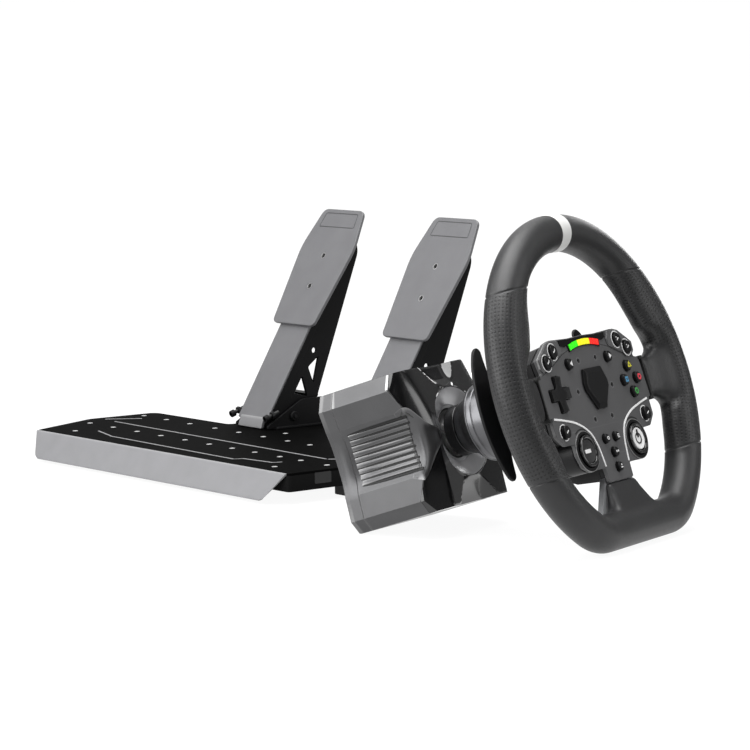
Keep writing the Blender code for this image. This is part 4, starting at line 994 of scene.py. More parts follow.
for side, sx in (("left", -1), ("right", 1)):
    p = Piece(side + "_paddle_detail")
    rad = [2, 10, 12, 8, 4, 4, 4, 8, 12, 14, 14, 12, 8, 4, 4, 4, 8, 12, 10, 2]
    b = rounded([(sx * x, z) for x, z in BLADE], rad, 5)
    p.plate(b, 46, 49, M["satin"], [circle(sx * 50, 0, 1.9, 20)], bevel=0.9, res=3)
    p.turn([(0, -12), (2.9, -12), (3.2, -11.6), (3.2, 11.6), (2.9, 12), (0, 12)], M["steel"], (sx * 33, 47.5), axis="Z", steps=32)
    p.turn([(0, 45.4), (1.2, 45.4), (1.2, 44.7), (3.0, 44.7), (3.3, 45.3), (3.3, 46.2), (0, 46.2)], M["silver"], (sx * 50, 0), steps=32)
    p.done(side + "_shifter", [side + "_paddle"], weighted=True)

p = Piece("qr_cone_detail")
p.turn([(14.3, 102), (31.4, 102), (31.6, 102.6), (31.2, 104.0), (28.4, 107.4), (27.7, 107.7), (27.4, 108.4), (24.0, 112.8), (22.6, 115.6), (21.6, 118.2), (20.6, 120.9), (14.3, 120.9)],
       M["cone"], steps=128, r=0.35)
p.done("steering", ["qr_cone"], angle=40)
p = Piece("qr_collar_detail")
p.turn([(14.4, 121.6), (20.0, 121.6), (20.6, 122.2), (20.6, 130.8), (19.9, 131.5), (14.4, 131.5)], M["collar"], steps=128, r=0.35)
p.done("collar", ["qr_collar"], angle=38)

# ------------------------------------------------------------------ wheel base
SECTION_HALF = [(0, 57), (55, 57), (63.6, 44), (61, 25), (56, 18), (54, 8), (53.6, -2), (54, -12), (56, -20), (60.4, -27), (62, -46.7), (54.4, -57.3), (0, -57.3)]
SECTION = mirrored(SECTION_HALF)
SIDE = [(25, 61), (18, 56), (8, 54), (-2, 53.6), (-12, 54), (-20, 56), (-27, 60.4)]


def side_x(z):
    """Distance of the side wall from the middle plane at height z, in the waist between the two ledges."""
    zs = [q[0] for q in SIDE][::-1]
    xs = [q[1] for q in SIDE][::-1]
    return float(np.interp(z, zs, xs))


def smooth_side_x(z):
    return sum(side_x(z + d) * w for d, w in ((-3, 0.2), (-1.5, 0.2), (0, 0.2), (1.5, 0.2), (3, 0.2)))


# outer skin: smooth waist that fills out behind the fins, crisp ledges
def waist_x(z, y):
    t = float(smoothstep(np.array(float(y)), 189.0, 208.0))
    full = 60.4 + 0.6 * (z + 27) / 52.0
    return smooth_side_x(z) * (1 - 0.66 * t) + full * 0.66 * t


def skin_at(y):
    zs = [24 - 51 * k / 24 for k in range(25)]
    waist = [(waist_x(z, y), z) for z in zs]
    return mirrored([(0, 57), (55, 57), (63.6, 44), (61.335, 27.8), (61, 25.4)] + waist[1:-1] + [(60.4, -27), (60.676, -30.4), (62, -46.7), (54.4, -57.3), (0, -57.3)])


skin = skin_at(150)
p = Piece("base_housing_detail")
front = [144.5 if abs(x) < 50 else float(np.interp(z, [-46.7, -30.4, -27, -23, 21, 25.4, 27.8, 44], [144.5, 137.2, 138.6, 144.5, 144.5, 138.6, 137.2, 144.5])) for x, z in skin]
rings = [(188, skin)]
rings += [(y, skin_at(y)) for y in (190, 192, 194, 196, 198, 199.8)]
rings += [(199.81, inset(skin_at(199.8), 0.35)), (200.3, inset(skin_at(200.3), 0.35)), (200.31, skin_at(200.3))]
rings += [(y, skin_at(y)) for y in (202, 204, 206, 207.6, 209.4)]
rings += [(209.5, inset(skin_at(209.4), 2.6)), (190, inset(skin, 2.6))]
rows = [[(x, y, z) for x, z in ring] for y, ring in rings]
rows = [[(x, y - back, z) for (x, z), y in zip(ring, front)] for ring, back in ((inset(skin, 0.5), 0.5), (skin, 0.0))] + rows
rows += [[(x, y - 0.5, z) for (x, z), y in zip(inset(skin, 1.4), front)]]
p.grid(rows, M["housing"], close_u=True, close_v=True)
p.done("base", ["base_housing"], angle=17, bevel=0.45)

# fins: bars between slots painted dark for their shade on each side, their front ends staggered, their rear ends fading
# into the skin
NF = 9
for side, sx in (("left", -1), ("right", 1)):
    zf0, zf1 = -21.5, 20.5
    pitch = (zf1 - zf0) / NF
    p = Piece(side + "_fins_detail")
    for i in range(NF + 1):
        zc = zf0 + pitch * i
        front = 140.4 - 0.0085 * zc * zc - (0.0 if i % 2 else 0.9)
        rear = 197.5 - 0.004 * zc * zc
        rows = []
        for y, hgt, w in [(front, 0.35, 0.5), (front + 0.5, 0.66, 0.9), (front + 1.4, 0.7, 1.0), (172, 0.66, 0.95), (184, 0.5, 0.75), (190, 0.35, 0.6), (rear, 0.0, 0.3)]:
            za, zb = zc - 1.1 * w, zc + 1.1 * w
            xa, xb = waist_x(za, y), waist_x(zb, y)
            rows.append([(sx * (xa - 1.2), y, za), (sx * (xa + hgt), y, za), (sx * (xb + hgt), y, zb), (sx * (xb - 1.2), y, zb)])
        p.grid(rows, M["dark"], close_u=True, caps=True)
    for i in range(NF):
        z0 = zf0 + pitch * i + 0.95
        z1 = zf0 + pitch * (i + 1) - 0.95
        zc = (z0 + z1) / 2
        front = 140.8 - 0.0085 * zc * zc
        rear = 197.0 - 0.004 * zc * zc
        rows = []
        for y, hgt, w in [(front, 0.5, 0.9), (front + 0.8, 1.25, 1.0), (front + 2.4, 1.5, 1.0), (172, 1.4, 1.05), (184, 1.0, 1.15), (190, 0.6, 1.25), (rear, 0.02, 1.3)]:
            za, zb = zc - (z1 - z0) / 2 * w, zc + (z1 - z0) / 2 * w
            xa, xb, xc = waist_x(za, y), waist_x(zb, y), waist_x(zc, y)
            rows.append([(sx * (xa - 1.0), y, za), (sx * (xa + hgt * 0.72), y, za), (sx * (xa + hgt * 0.97), y, za + 0.4), (sx * (xc + hgt), y, zc), (sx * (xb + hgt * 0.97), y, zb - 0.4), (sx * (xb + hgt * 0.72), y, zb), (sx * (xb - 1.0), y, zb)])
        p.grid(rows, M["housing"], close_u=True, caps=True)
    p.done("base", [side + "_fins"], angle=40)
    # arrow-shaped end of the side panel, bending smoothly forward over the cover
    p = Piece(side + "_side_arrow")
    #            upper edge (x, z, y)      lower edge             middle (x, y)
    keys = [((61.04, 25.4, 146.0), (60.44, -27.0, 146.0), (53.7, 146.0)),
            ((61.36, 28.0, 137.4), (60.75, -30.8, 136.6), (53.8, 138.2)),
            ((60.0, 26.2, 132.0), (58.4, -29.4, 134.4), (53.7, 132.6)),
            ((55.4, 18.6, 127.9), (53.4, -24.0, 132.0), (51.6, 128.4)),
            ((50.0, 11.6, 125.2), (48.2, -18.0, 129.8), (47.8, 125.9)),
            ((45.0, 8.2, 123.8), (44.0, -13.2, 128.0), (43.8, 124.8)),
            ((40.0, 6.1, 122.9), (40.0, -9.3, 126.6), (39.9, 124.2))]
    flat = [u + l + m for u, l, m in keys]
    fine_ = []
    for i in range(len(flat) - 1):
        p0, p1, p2, p3 = [np.array(flat[min(max(i + d, 0), len(flat) - 1)]) for d in (-1, 0, 1, 2)]
        for j in range(6):
            t = j / 6
            fine_.append(0.5 * (2 * p1 + (p2 - p0) * t + (2 * p0 - 5 * p1 + 4 * p2 - p3) * t * t + (3 * p1 - 3 * p2 + p3 - p0) * t ** 3))
    fine_.append(np.array(flat[-1]))
    rows = []
    for q_ in fine_:
        ux, uz, uy, lx, lz, ly, mx_, my_ = [float(c) for c in q_]
        q = []
        for j in range(21):
            v_ = j / 20
            w_ = 1 - abs(2 * v_ - 1) ** 2.4
            x = (lx + (ux - lx) * v_) * (1 - w_) + mx_ * w_
            zz = lz + (uz - lz) * v_
            on_skin = 61 + 2.6 * (zz - 25.4) / 18.6 if zz > 25.0 else 60.4 + 1.6 * (-27 - zz) / 19.7 if zz < -26.6 else smooth_side_x(zz)
            b_side = float(smoothstep(np.array(my_), 132.0, 139.0))
            x = x * (1 - b_side) + (on_skin + 0.05) * b_side
            y = (ly + (uy - ly) * v_) * (1 - w_) + my_ * w_
            q.append((sx * x, y, lz + (uz - lz) * v_))
        rows.append(q + [(sx * (abs(a_) - 1.5), b_ + 0.9, c_) for a_, b_, c_ in reversed(q)])
    p.grid(rows, M["housing"], close_u=True, caps=True)
    p.done("base", angle=24)

# joint strips where the skin meets the gloss cover at the upper chamfer, painted white as a highlight line
p = Piece("base_joint_highlights")
for sx in (-1, 1):
    (xa, za), (xb, zb) = (55.8, 56.2), (63.2, 45.0)
    nx, nz = 0.83, 0.55
    rows = []
    for y in (144.3, 146.2):
        rows.append([(sx * (xa - 0.8 * nx), y, za - 0.8 * nz), (sx * (xa + 0.22 * nx), y, za + 0.22 * nz), (sx * (xb + 0.22 * nx), y, zb + 0.22 * nz), (sx * (xb - 0.8 * nx), y, zb - 0.8 * nz)])
    p.grid(rows, M["white"], close_u=True, caps=True)
p.done("base")

# rear cover: metal rim, black inset face with its inlets
p = Piece("rear_cover_detail")
sec = skin_at(209)
ports = [circle(-28, 24, 5, 36), rounded([(-6, 18), (6, 18), (6, 29), (-6, 29)], 1.2), rounded([(19, 18), (33, 18), (33, 30), (19, 30)], 0.8)]
p.plate(inset(sec, 0.06), 207.6, 213.3, M["housing"], [inset(sec, 5.0)], bevel=0.8)
p.plate(inset(sec, 4.6), 210.0, 213.5, M["black"], ports, bevel=0.6)
p.turn([(3.4, 209.4), (5.0, 209.4), (5.0, 213.2), (3.9, 213.2), (3.4, 212.6)], M["steel"], (-28, 24), steps=36)
p.turn([(0, 206.8), (1.1, 206.8), (1.1, 211.2), (0.8, 211.6), (0, 211.6)], M["silver"], (-28, 24), steps=20)
# backs of the inlets: dark plates painted as the shade inside the openings, with a steel contact in the middle one
p.plate(rounded([(-5.6, 18.4), (5.6, 18.4), (5.6, 28.6), (-5.6, 28.6)], 1.0), 208.2, 210.4, M["dark"], bevel=0.2)
p.plate(rounded([(-3.8, 21.4), (3.8, 21.4), (3.8, 25.0), (-3.8, 25.0)], 0.4), 210.2, 212.0, M["steel"], bevel=0.2)
p.plate(rounded([(19.5, 18.5), (32.5, 18.5), (32.5, 29.5), (19.5, 29.5)], 0.5), 208.2, 210.4, M["dark"], bevel=0.2)
# vent slots drawn as dark bars, painted shade
for i in range(11):
    z = -40 + 4.6 * i
    p.plate(rounded([(-30, z), (30, z), (30, z + 2.0), (-30, z + 2.0)], 0.9), 212.8, 213.75, M["dark"], bevel=0.3)
for x, z in [(-50, 46), (50, 46), (-48, -46), (48, -46)]:
    p.turn([(0, 213.0), (1.3, 213.0), (1.3, 214.1), (2.7, 214.1), (3.0, 213.7), (3.0, 212.4), (0, 212.4)], M["steel"], (x, z), steps=28)
p.done("base", ["rear_cover"], weighted=True)

# front cover: gloss shell sloping back from a polished dish, with a valley at the head and the foot
OUTLINE = skin
DISH = 36.8


def ray_out(a):
    """Radius at which a ray from the hub leaves the housing's section."""
    d = (math.cos(a), math.sin(a))
    best = 1e9
    for (x0, z0), (x1, z1) in zip(OUTLINE, OUTLINE[1:] + OUTLINE[:1]):
        den = d[0] * (z1 - z0) - d[1] * (x1 - x0)
        if abs(den) < 1e-9:
            continue
        t = (x0 * (z1 - z0) - z0 * (x1 - x0)) / den
        u = (x0 * d[1] - z0 * d[0]) / den
        if t > 0 and -1e-6 <= u <= 1 + 1e-6:
            best = min(best, t)
    return best


def cover_y(x, z):
    """Level of the gloss cover at a point of the section."""
    ax, az = abs(x), abs(z)
    up = 123.0 + 0.24 * (z - 6) + 0.015 * max(0.0, ax - 36) ** 2
    lo_ = 125.6 + 0.05 * (-z - 12) + (0.66 * (ax - 41) if ax > 41 else 0.12 * (41 - ax))
    s = float(smoothstep(np.array(float(z)), -9.0, 4.0))
    y = lo_ * (1 - s) + up * s
    if az > 30:
        vt = 128.4 + 0.86 * max(0.0, az - 37) - 4.0 * (max(0.0, az - 44) / 13.3) ** 2
        b = (4.0 if z > 0 else 6.0) + max(0.0, az - 34.0) * (0.72 if z > 0 else 0.8)
        wt = float(smoothstep(np.array(ax), b - 1.0, b + 5.0))
        y = vt * (1 - wt) + y * wt
    # room behind the arrow-shaped panels
    zu = float(np.interp(ax, [38.5, 40, 45, 50, 55.4, 60, 64], [4.0, 6.1, 8.2, 11.6, 18.6, 26.2, 28.0]))
    zl = float(np.interp(ax, [38.5, 40, 44, 48.2, 53.4, 58.4, 64], [-6.0, -9.3, -13.2, -18.0, -24.0, -29.4, -31.0]))
    if ax > 40.6 and zl + 1.2 < z < zu - 1.2:
        y = max(y, 131.0) + 2.0
    return min(max(y, 122.6), 143.4)


angs = sorted(set([round(math.tau * k / 300, 6) for k in range(300)] + [round(math.atan2(z, x) % math.tau, 6) for x, z in OUTLINE if abs(x) > 50 and (abs(z) > 30)]))
rows = []
outer = [ray_out(a) for a in angs]
rows.append([((R - 2.2) * math.cos(a), 143.7, (R - 2.2) * math.sin(a)) for a, R in zip(angs, outer)])
rows.append([(R * math.cos(a), 143.7, R * math.sin(a)) for a, R in zip(angs, outer)])
NR = 30
for t in [1.0] + [1 - k / NR for k in range(1, NR + 1)]:
    row = []
    for a, R in zip(angs, outer):
        if t == 1.0:
            rr = R - 0.25
            row.append((rr * math.cos(a), min(cover_y(rr * math.cos(a) * 0.985, rr * math.sin(a) * 0.985) + 0.5, 143.5), rr * math.sin(a)))
        else:
            rr = DISH + 0.5 + (R - 0.8 - DISH - 0.5) * t
            row.append((rr * math.cos(a), cover_y(rr * math.cos(a), rr * math.sin(a)), rr * math.sin(a)))
    rows.append(row)
p = Piece("front_cover_detail")
inner_rows = []
for r_, y_ in ((DISH, 128.35), (DISH - 0.3, 129.2), (DISH - 0.3, 131.0)):
    inner_rows.append([(r_ * math.cos(a), y_, r_ * math.sin(a)) for a in angs])
p.grid(rows + inner_rows, M["gloss"], close_u=True)
ob = p.done("base", ["front_cover"], angle=30)
sol = ob.modifiers.new("wall", "SOLIDIFY")
sol.thickness, sol.offset = 0.0012, -1.0
bmx = bmesh.new()
bmx.from_mesh(ob.data)
c = sum((f.normal.dot(Vector((0, -CP, SP))) for f in bmx.faces), 0.0)
if c < 0:
    bmesh.ops.reverse_faces(bmx, faces=bmx.faces)
    bmx.to_mesh(ob.data)
bmx.free()

# polished dish round the shaft, with a step and a throat painted dark for the shade in the gap
p = Piece("base_dish")
p.turn([(DISH - 0.4, 129.0), (DISH - 0.4, 131.4), (21.2, 139.8), (20.7, 139.8), (20.6, 136.2), (22.6, 135.9), (23.4, 134.9), (24.0, 134.6), (30.0, 131.6), (35.6, 128.9)], M["dish"], steps=128, r=0.2)
p.turn([(17.6, 137.2), (20.7, 137.2), (20.7, 143.0), (17.6, 143.0)], M["dark"], steps=64)
p.done("base", angle=40)
# small plain plaque in the top valley
p = Piece("top_plaque")
rows = []
for z in (44.6, 48.0, 51.5, 55.0):
    half_w = 3.8 + (z - 40) * 0.55
    rows.append([(x, cover_y(x, z) - 0.35, z) for x in np.linspace(-half_w, half_w, 9)] + [(x, cover_y(x, z) + 0.5, z) for x in np.linspace(half_w, -half_w, 9)])
p.grid(rows, M["visor"], close_u=True, caps=True)
p.done("base", angle=40)

# ------------------------------------------------------------------ pedal set
PLATE_W, PLATE_TOP = 400.0, 27.0
PLATE_OUT = [(0, 0), (400, 0), (402, 3), (402, 240), (100, 240), (96, 152), (-24, 152), (-30, 147), (-34, 79)]


def row_points(a, b, xs):
    return [(x, a[1] + (b[1] - a[1]) * (x - a[0]) / (b[0] - a[0])) for x in xs]


HOLES = row_points((-15, 129), (270, 119.5), [-15, 26, 68, 112, 153, 194, 234, 270, 312, 350, 384])
HOLES += row_points((-5, 61), (384, 54), [-5, 37, 79, 120, 161, 201, 238, 274, 313, 345, 384])
HOLES += [(34, 20), (360, 16), (190, 150), (120, 205), (262, 205), (385, 205), (262, 160), (385, 160), (120, 225), (210, 190)]
HOLES = [h for h in HOLES if not (100 < h[0] < 168 and h[1] > 140) and not (283 < h[0] < 350 and 132 < h[1])]
p = Piece("heel_plate_detail", PEDAL)
top = rounded(PLATE_OUT, [3, 2, 2, 3, 2, 6, 3, 3, 6], 4)
p.plate(top, 24.6, 27.0, M["plate"], [circle(x, y, 2.3, 20) for x, y in HOLES], axis="Z", bevel=0.55)
outer_ = inset(top, 0.15)
inner_ = inset(top, 2.6)
rows = [[(x, y, z) for x, y in ring] for z, ring in ((25.6, outer_), (11.2, outer_), (10.8, inset(top, 0.6)), (10.8, inset(top, 2.1)), (11.2, inner_), (25.6, inner_))]
p.grid(rows, M["plate"], close_u=True, close_v=True)
# dark patch on the plate's end: painted shade of a cut-out in the skirt
p.plate(rounded([(27.5, 15.5), (45, 15.5), (45, 25), (27.5, 25)], 1.2), 401.6, 402.2, M["dark"], axis="X", bevel=0.15)
p.done("base", ["heel_plate"], angle=34, weighted=True)

# raised rim at each hole, coloured light as a painted reflection of the edge
p = Piece("plate_inserts", PEDAL)
for x, y in HOLES:
    p.turn([(1.3, 25.2), (2.25, 25.2), (2.25, 27.03), (2.5, 27.05), (2.6, 27.2), (2.3, 27.32), (1.7, 27.32), (1.3, 27.0)], M["insert"], (x, y), axis="Z", steps=24)
p.done("base", angle=40)

# pressed lines across the plate: a light ribbon painted as each line's highlight, on a dark strip
p = Piece("plate_lines", PEDAL)
for line in ([(-19, 87), (2.5, 115)], [(3, 84), (354, 75.5)], [(51, 35), (92, 23), (297, 17), (301, 25), (339, 29), (342, 37)], [(356, 76), (372, 92), (398, 94)]):
    p.plate(strip(line, 2.3), 26.8, 27.2, M["dark"], axis="Z", bevel=0.1)
    p.plate(strip(line, 1.5), 26.8, 27.5, M["line"], axis="Z", bevel=0.3)
p.done("base", weighted=True)

# sloping front lip, folded from the sheet, coloured grey as a painted reflection of the sheet's black paint
p = Piece("heel_lip_detail", PEDAL)
def lip_row(y, z, k, q=0.0):
    """Row across the lip: k slants its ends inwards, q rounds them."""
    x0, x1 = 19.0 * k + q, 400 - 19.0 * k - q
    return [(x0, y, z), (x0 + 0.8, y, z), (x1 - 0.8, y, z), (x1, y, z)]


frontp = [(-0.35, 26.95, 0.0), (-1.3, 26.7, 0.02), (-2.1, 25.9, 0.05), (-2.7, 24.8, 0.09), (-12.3, 7.9, 0.73), (-13.1, 6.5, 0.785, 0.25), (-13.7, 5.4, 0.825, 0.9), (-14.15, 4.6, 0.855, 1.9), (-14.5, 3.9, 0.88, 3.4), (-14.6, 3.3, 0.89, 4.2), (-14.3, 2.9, 0.89, 4.6)]
backp = [(-13.4, 2.9, 0.89, 4.6), (-12.6, 3.9, 0.86, 3.0), (-0.8, 24.0, 0.09), (-0.35, 25.0, 0.0)]
rows = [lip_row(*q) for q in frontp + backp]
v = [q for r in rows for q in r]
n = len(rows)
f = []
for i in range(n):
    for j in range(3):
        a = i * 4 + j
        b = ((i + 1) % n) * 4 + j
        f.append((a, a + 1, b + 1, b))
f.append(tuple(i * 4 for i in range(n)))
f.append(tuple(i * 4 + 3 for i in range(n))[::-1])
p.put(v, f, M["lip"])
p.done("base", ["heel_lip"], angle=34, weighted=True)

for side, x0, x1 in (("left", 4, 24), ("right", 376, 396)):
    y1 = 140 if side == "left" else 228
    p = Piece(side + "_foot_detail", PEDAL)
    y0 = 12 if side == "left" else 66
    p.plate(rounded([(x0, y0), (x1, y0), (x1, y1), (x0, y1)], 4), 0.0, 23.6, M["rubber"], axis="Z", bevel=0.8)
    for k in range(int((y1 - y0 - 8) // 9)):
        p.plate(rounded([(x0 - 0.3, y0 + 5 + 9 * k), (x1 + 0.3, y0 + 5 + 9 * k), (x1 + 0.3, y0 + 9 + 9 * k), (x0 - 0.3, y0 + 9 + 9 * k)], 0.8), 2.0, 20.0, M["rubber"], axis="Z", bevel=0.3)
    p.done("base", [side + "_foot"], weighted=True)

LEAN = math.radians(31.6)
SL, CL = math.sin(LEAN), math.cos(LEAN)


def on_lever(s, out=0.0):
    return (147.0 + s * SL - out * CL, 27.0 + s * CL + out * SL)


# frame of the pedal's face: x across, y up the lever, z out in front
FACE = Matrix(((1, 0, 0, 0), (0, SL, -CL, 147.0), (0, CL, SL, 27.0), (0, 0, 0, 1)))
for name, unit in (("brake", BRAKE), ("throttle", THROTTLE)):
    body = name + "_pedal"
    # front web with its rolled foot, coloured grey as a painted reflection of the dark paint
    p = Piece(name + "_lever_web", unit)
    web = rounded([(-23, 10.5), (23, 10.5), (23, 214), (-23, 214)], 1.0)
    p.plate(web, -3.0, 0.0, M["pedal"], axis="Z", bevel=0.7, xf=FACE)
    # its foot turns down towards the plate, with a small joggle across the fold
    q = [on_lever(13.0, 0.35), on_lever(10.0, 0.45), (149.6, 29.4), (149.8, 28.2), (152.8, 28.2), (153.2, 31.0), on_lever(12.0, -2.6)]
    p.plate(q, -18.5, 18.5, M["pedal"], axis="X", bevel=0.4)
    # flanges turned back along both sides
    for sx in (-1, 1):
        x0, x1 = sorted((sx * 20.3, sx * 23.0))
        q = [on_lever(16, -1.0), on_lever(213, -1.0), on_lever(213, -8.5), on_lever(60, -8.5), on_lever(40, -16), on_lever(16, -16)]
        p.plate(rounded(q, 1.5), x0, x1, M["bracket"], axis="X", bevel=0.5)
    p.done(body, angle=36, weighted=True)
    # black side cheeks with their cut-outs, spring seat and pivot
    p = Piece(name + "_lever_cheeks", unit)
    cheek = [on_lever(16, -2.2), on_lever(212, -2.2), (263, 188), (262, 183), (213, 56), (211, 49), (198, 39.5), (190, 33), (185, 30.2), (178, 30.2), (168, 34)]
    cuts = [circle(209.5, 97.1, 2.6, 24), rounded([(202.3, 82), (214.5, 91.5), (208, 66.5)], 1.4), rounded([(195, 74), (185.5, 58.5), (200.5, 54.5)], 1.4), circle(182, 38, 3.7, 28)]
    for sx in (-1, 1):
        x0, x1 = sorted((sx * 19.9, sx * 22.9))
        p.plate(rounded(cheek, [1, 2, 3, 3, 6, 4, 5, 3, 2, 2, 2]), x0, x1, M["bracket"], cuts, axis="X", bevel=0.4)
    p.plate(rounded([(203, 53.5), (215, 53.5), (215, 56.5), (203, 56.5)], 0.6), -20.4, 20.4, M["bracket"], axis="X", bevel=0.4)
    p.turn([(0, -28.0), (3.0, -28.0), (3.3, -27.6), (3.3, 27.6), (3.0, 28.0), (0, 28.0)], M["steel"], (182, 38), axis="X", steps=36)
    for a, b in ((236, 128), (250, 160)):
        p.turn([(0, -19.9), (1.9, -19.9), (1.9, 19.9), (0, 19.9)], M["steel"], (a - 6, b), axis="X", steps=24)
    p.done(body, [name + "_lever"], weighted=True)
    # face plate with an engraved frame and two countersunk screws, coloured grey as a painted reflection of the dark
    # paint
    p = Piece(name + "_face_detail", unit)
    outl = rounded([(-31, 231), (31, 231), (41.3, 190), (32.3, 108.5), (-32.3, 108.5), (-41.3, 190)], [7, 7, 10, 6, 6, 10], 6)
    p.plate(outl, 0.3, 3.5, M["pedal"], [circle(0, 181.5, 2.3, 28), circle(0, 149, 2.3, 28)], axis="Z", bevel=0.75, res=3, xf=FACE)
    # the engraved frame is a flat ring painted darker as the shade in its groove
    fr = rounded([(-27.5, 211.5), (27.5, 211.5), (25.0, 227.0), (-25.0, 227.0)], 2.5, 5)
    p.plate(fr, 3.36, 3.56, M["housing_dark"], [inset(fr, 0.9)], axis="Z", bevel=0.05, xf=FACE)
    for s_ in (181.5, 149.0):
        for prof_, mt in (([(0, 1.2), (1.2, 1.2), (1.2, 2.6), (2.15, 3.1), (2.2, 0.4), (0, 0.4)], M["dark"]), ([(2.3, 3.42), (3.2, 3.42), (3.3, 3.54), (2.5, 3.6), (2.3, 3.5)], M["steel"])):
            o = len(p.v)
            p.turn(prof_, mt, (0, s_), axis="Z", steps=32)
            for i in range(o, len(p.v)):
                p.v[i] = tuple(FACE @ Vector(p.v[i]))
    p.done(body, [name + "_face"], weighted=True)
    # fixed mount: base, side plates, stops and bolts
    p = Piece(name + "_mount_detail", unit)
    p.plate(rounded([(-30.5, 160), (30.5, 160), (30.5, 236), (-30.5, 236)], 2.5), 27.3, 29.3, M["bracket"], axis="Z", bevel=0.4)
    sp_ = rounded([(152, 28.0), (152, 30.5), (192, 53.3), (225, 53.3), (236, 40), (236, 28.0)], [0.5, 2, 5, 5, 4, 0.5])
    for sx in (-1, 1):
        x0, x1 = sorted((sx * 23.8, sx * 26.5))
        p.plate(sp_, x0, x1, M["bracket"], [circle(182, 38, 4.0, 28), circle(222, 44, 2.2, 20)], axis="X", bevel=0.4)
        p.turn([(0, sx * 28.6), (2.0, sx * 28.6), (2.0, sx * 27.9), (4.2, sx * 27.9), (4.6, sx * 27.2), (4.6, sx * 26.6), (0, sx * 26.6)], M["steel"], (222, 44), axis="X", steps=6)
        p.turn([(0, sx * 29.8), (1.9, sx * 29.8), (1.9, sx * 29.0), (3.9, sx * 29.0), (4.3, sx * 28.7), (4.3, sx * 26.7), (3.6, sx * 26.7), (3.6, sx * 28.4), (0, sx * 28.4)], M["bracket"], (182, 38), axis="X", steps=36)
        p.turn([(0, 30.6), (1.2, 30.6), (1.2, 31.8), (2.6, 31.8), (2.9, 31.2), (2.9, 29.2), (0, 29.2)], M["steel"], (sx * 14, 230), axis="Z", steps=28)
        # stop bolt standing forward of each side plate
        bolt = Matrix.Translation((sx * 27.4, 158.5, 41.5)) @ Matrix.Rotation(math.radians(20), 4, "X")
        for prof_, mt in (([(0, -9.0), (1.6, -9.0), (1.6, -11.6), (3.0, -11.6), (3.3, -11.2), (3.3, -7.6), (3.0, -7.2), (0, -7.2)], M["bracket"]), ([(0, -7.4), (1.9, -7.4), (1.9, 5.0), (0, 5.0)], M["dark"]), ([(1.7, -3.2), (3.6, -3.2), (3.6, -0.6), (1.7, -0.6)], M["bracket"])):
            o = len(p.v)
            p.turn(prof_, mt, steps=24 if mt is not M["bracket"] or prof_[0][0] == 0 else 6)
            for i in range(o, len(p.v)):
                p.v[i] = tuple(bolt @ Vector(p.v[i]))
    p.done("base", [name + "_mount"], angle=34, weighted=True)
    # coil spring, squashed by the lever
    p = Piece(name + "_spring_detail", unit)
    turns = 6.5
    pts = []
    for i in range(int(turns * 24) + 1):
        t = i / (turns * 24)
        a = math.tau * turns * t
        zz = 31.4 + (52.2 - 31.4) * (t if 0.08 < t < 0.92 else (t * 0.55 + 0.036 if t <= 0.08 else 1 - ((1 - t) * 0.55 + 0.036)))
        pts.append((5.0 * math.cos(a), 209 + 5.0 * math.sin(a), zz))
    p.tube(pts, 0.85, M["steel"], n=10)
    ob = p.done("base", [name + "_spring"])
    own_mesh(ob)

# ------------------------------------------------------------------ carried-over nodes keep their shape and get finished materials
for node, key in {"rim_frame": "core", "motor_can": "winding", "motor_rotor": "steel", "motor_front_plate": "steel", "front_bearing": "steel",
                  "rear_bearing": "steel", "driver_board": "board", "button_board": "board", "qr_spool": "steel"}.items():
    me = NODES[node].data
    if len(me.materials):
        me.materials[0] = M[key]
    else:
        me.materials.append(M[key])

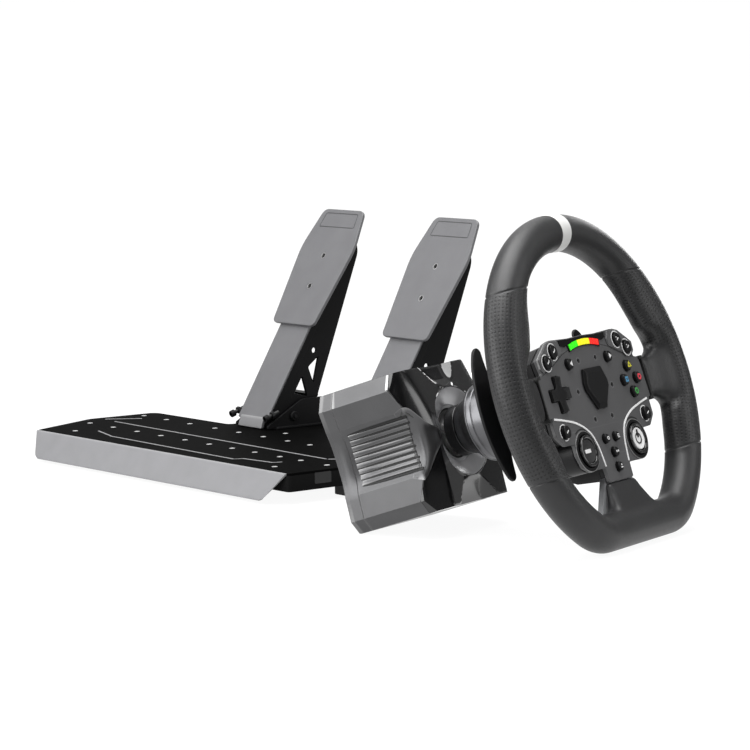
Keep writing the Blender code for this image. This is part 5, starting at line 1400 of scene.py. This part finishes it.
# ------------------------------------------------------------------ studio
fm = bpy.data.materials.new("studio_floor")
fm.use_nodes = True
fb = fm.node_tree.nodes["Principled BSDF"]
fb.inputs["Base Color"].default_value = (0.10, 0.10, 0.10, 1)
fb.inputs["Roughness"].default_value = 0.7
fb.inputs["Specular IOR Level"].default_value = 0.0
fb.inputs["Emission Color"].default_value = (1, 1, 1, 1)
fb.inputs["Emission Strength"].default_value = 0.93
bmf = bmesh.new()
grid = []
for i in range(60):
    t = i / 59
    d = -4.0 + 7.0 * t if t < 0.72 else None
    if d is not None:
        u, h = d, 0.0
    else:
        a = (t - 0.72) / 0.28 * math.pi / 2
        u, h = 1.0 + 1.6 * math.sin(a), 1.6 * (1 - math.cos(a))
    grid.append((u, h))
grid.append((2.6, 6.0))
back = Vector((-B_.x, -B_.y, 0)).normalized()
side = Vector((-back.y, back.x, 0))
centre = Vector((0, 0, 0))
rows = []
for u, h in grid:
    wide = 0.46 + 0.13 * max(0.0, u + 0.6) + 0.10 * h
    rows.append([bmf.verts.new(centre + back * (u + 0.6) + side * w + Vector((0, 0, h - 0.0004))) for w in (-wide, wide)])
for a, b in zip(rows, rows[1:]):
    bmf.faces.new((a[0], a[1], b[1], b[0]))
fme = bpy.data.meshes.new("studio_floor")
bmf.to_mesh(fme)
bmf.free()
fme.shade_smooth()
fme.materials.append(fm)
floor = bpy.data.objects.new("studio_floor", fme)
SC.collection.objects.link(floor)

world = bpy.data.worlds.new("studio")
SC.world = world
world.use_nodes = True
world.node_tree.nodes["Background"].inputs["Color"].default_value = (1, 1, 1, 1)
world.node_tree.nodes["Background"].inputs["Strength"].default_value = 0.22


def area(name, at, look, w, h, power, colour=(1, 1, 1)):
    d = bpy.data.lights.new(name, "AREA")
    d.shape, d.size, d.size_y, d.energy, d.color = "RECTANGLE", w, h, power, colour
    o = bpy.data.objects.new(name, d)
    SC.collection.objects.link(o)
    o.location = Vector(at)
    o.rotation_euler = (Vector(look) - Vector(at)).to_track_quat("-Z", "Y").to_euler()
    return o


def studio(u, r, h):
    """Point u metres towards the camera, r to its right, at height h."""
    f = Vector((B_.x, B_.y, 0)).normalized()
    q = Vector((R_.x, R_.y, 0)).normalized()
    return f * u + q * r + Vector((0, 0, h))


target = Vector((0, 0, 0.15))
area("top_softbox", studio(0.1, -0.1, 1.9), target, 1.8, 1.8, 62)
area("left_softbox", (-1.55, 0.72, 0.56), (-0.13, -0.2, 0.18), 1.3, 1.2, 23)
area("back_left_softbox", (-0.75, 1.40, 1.35), (-0.1, -0.2, 0.15), 1.1, 0.9, 12)
area("right_softbox", studio(0.3, 1.9, 0.9), target, 0.7, 1.6, 10)
area("front_softbox", studio(1.9, -0.5, 0.9), target, 0.9, 1.2, 6)
area("rim_softbox", studio(-2.1, 1.12, 0.6), target, 0.85, 1.0, 13)
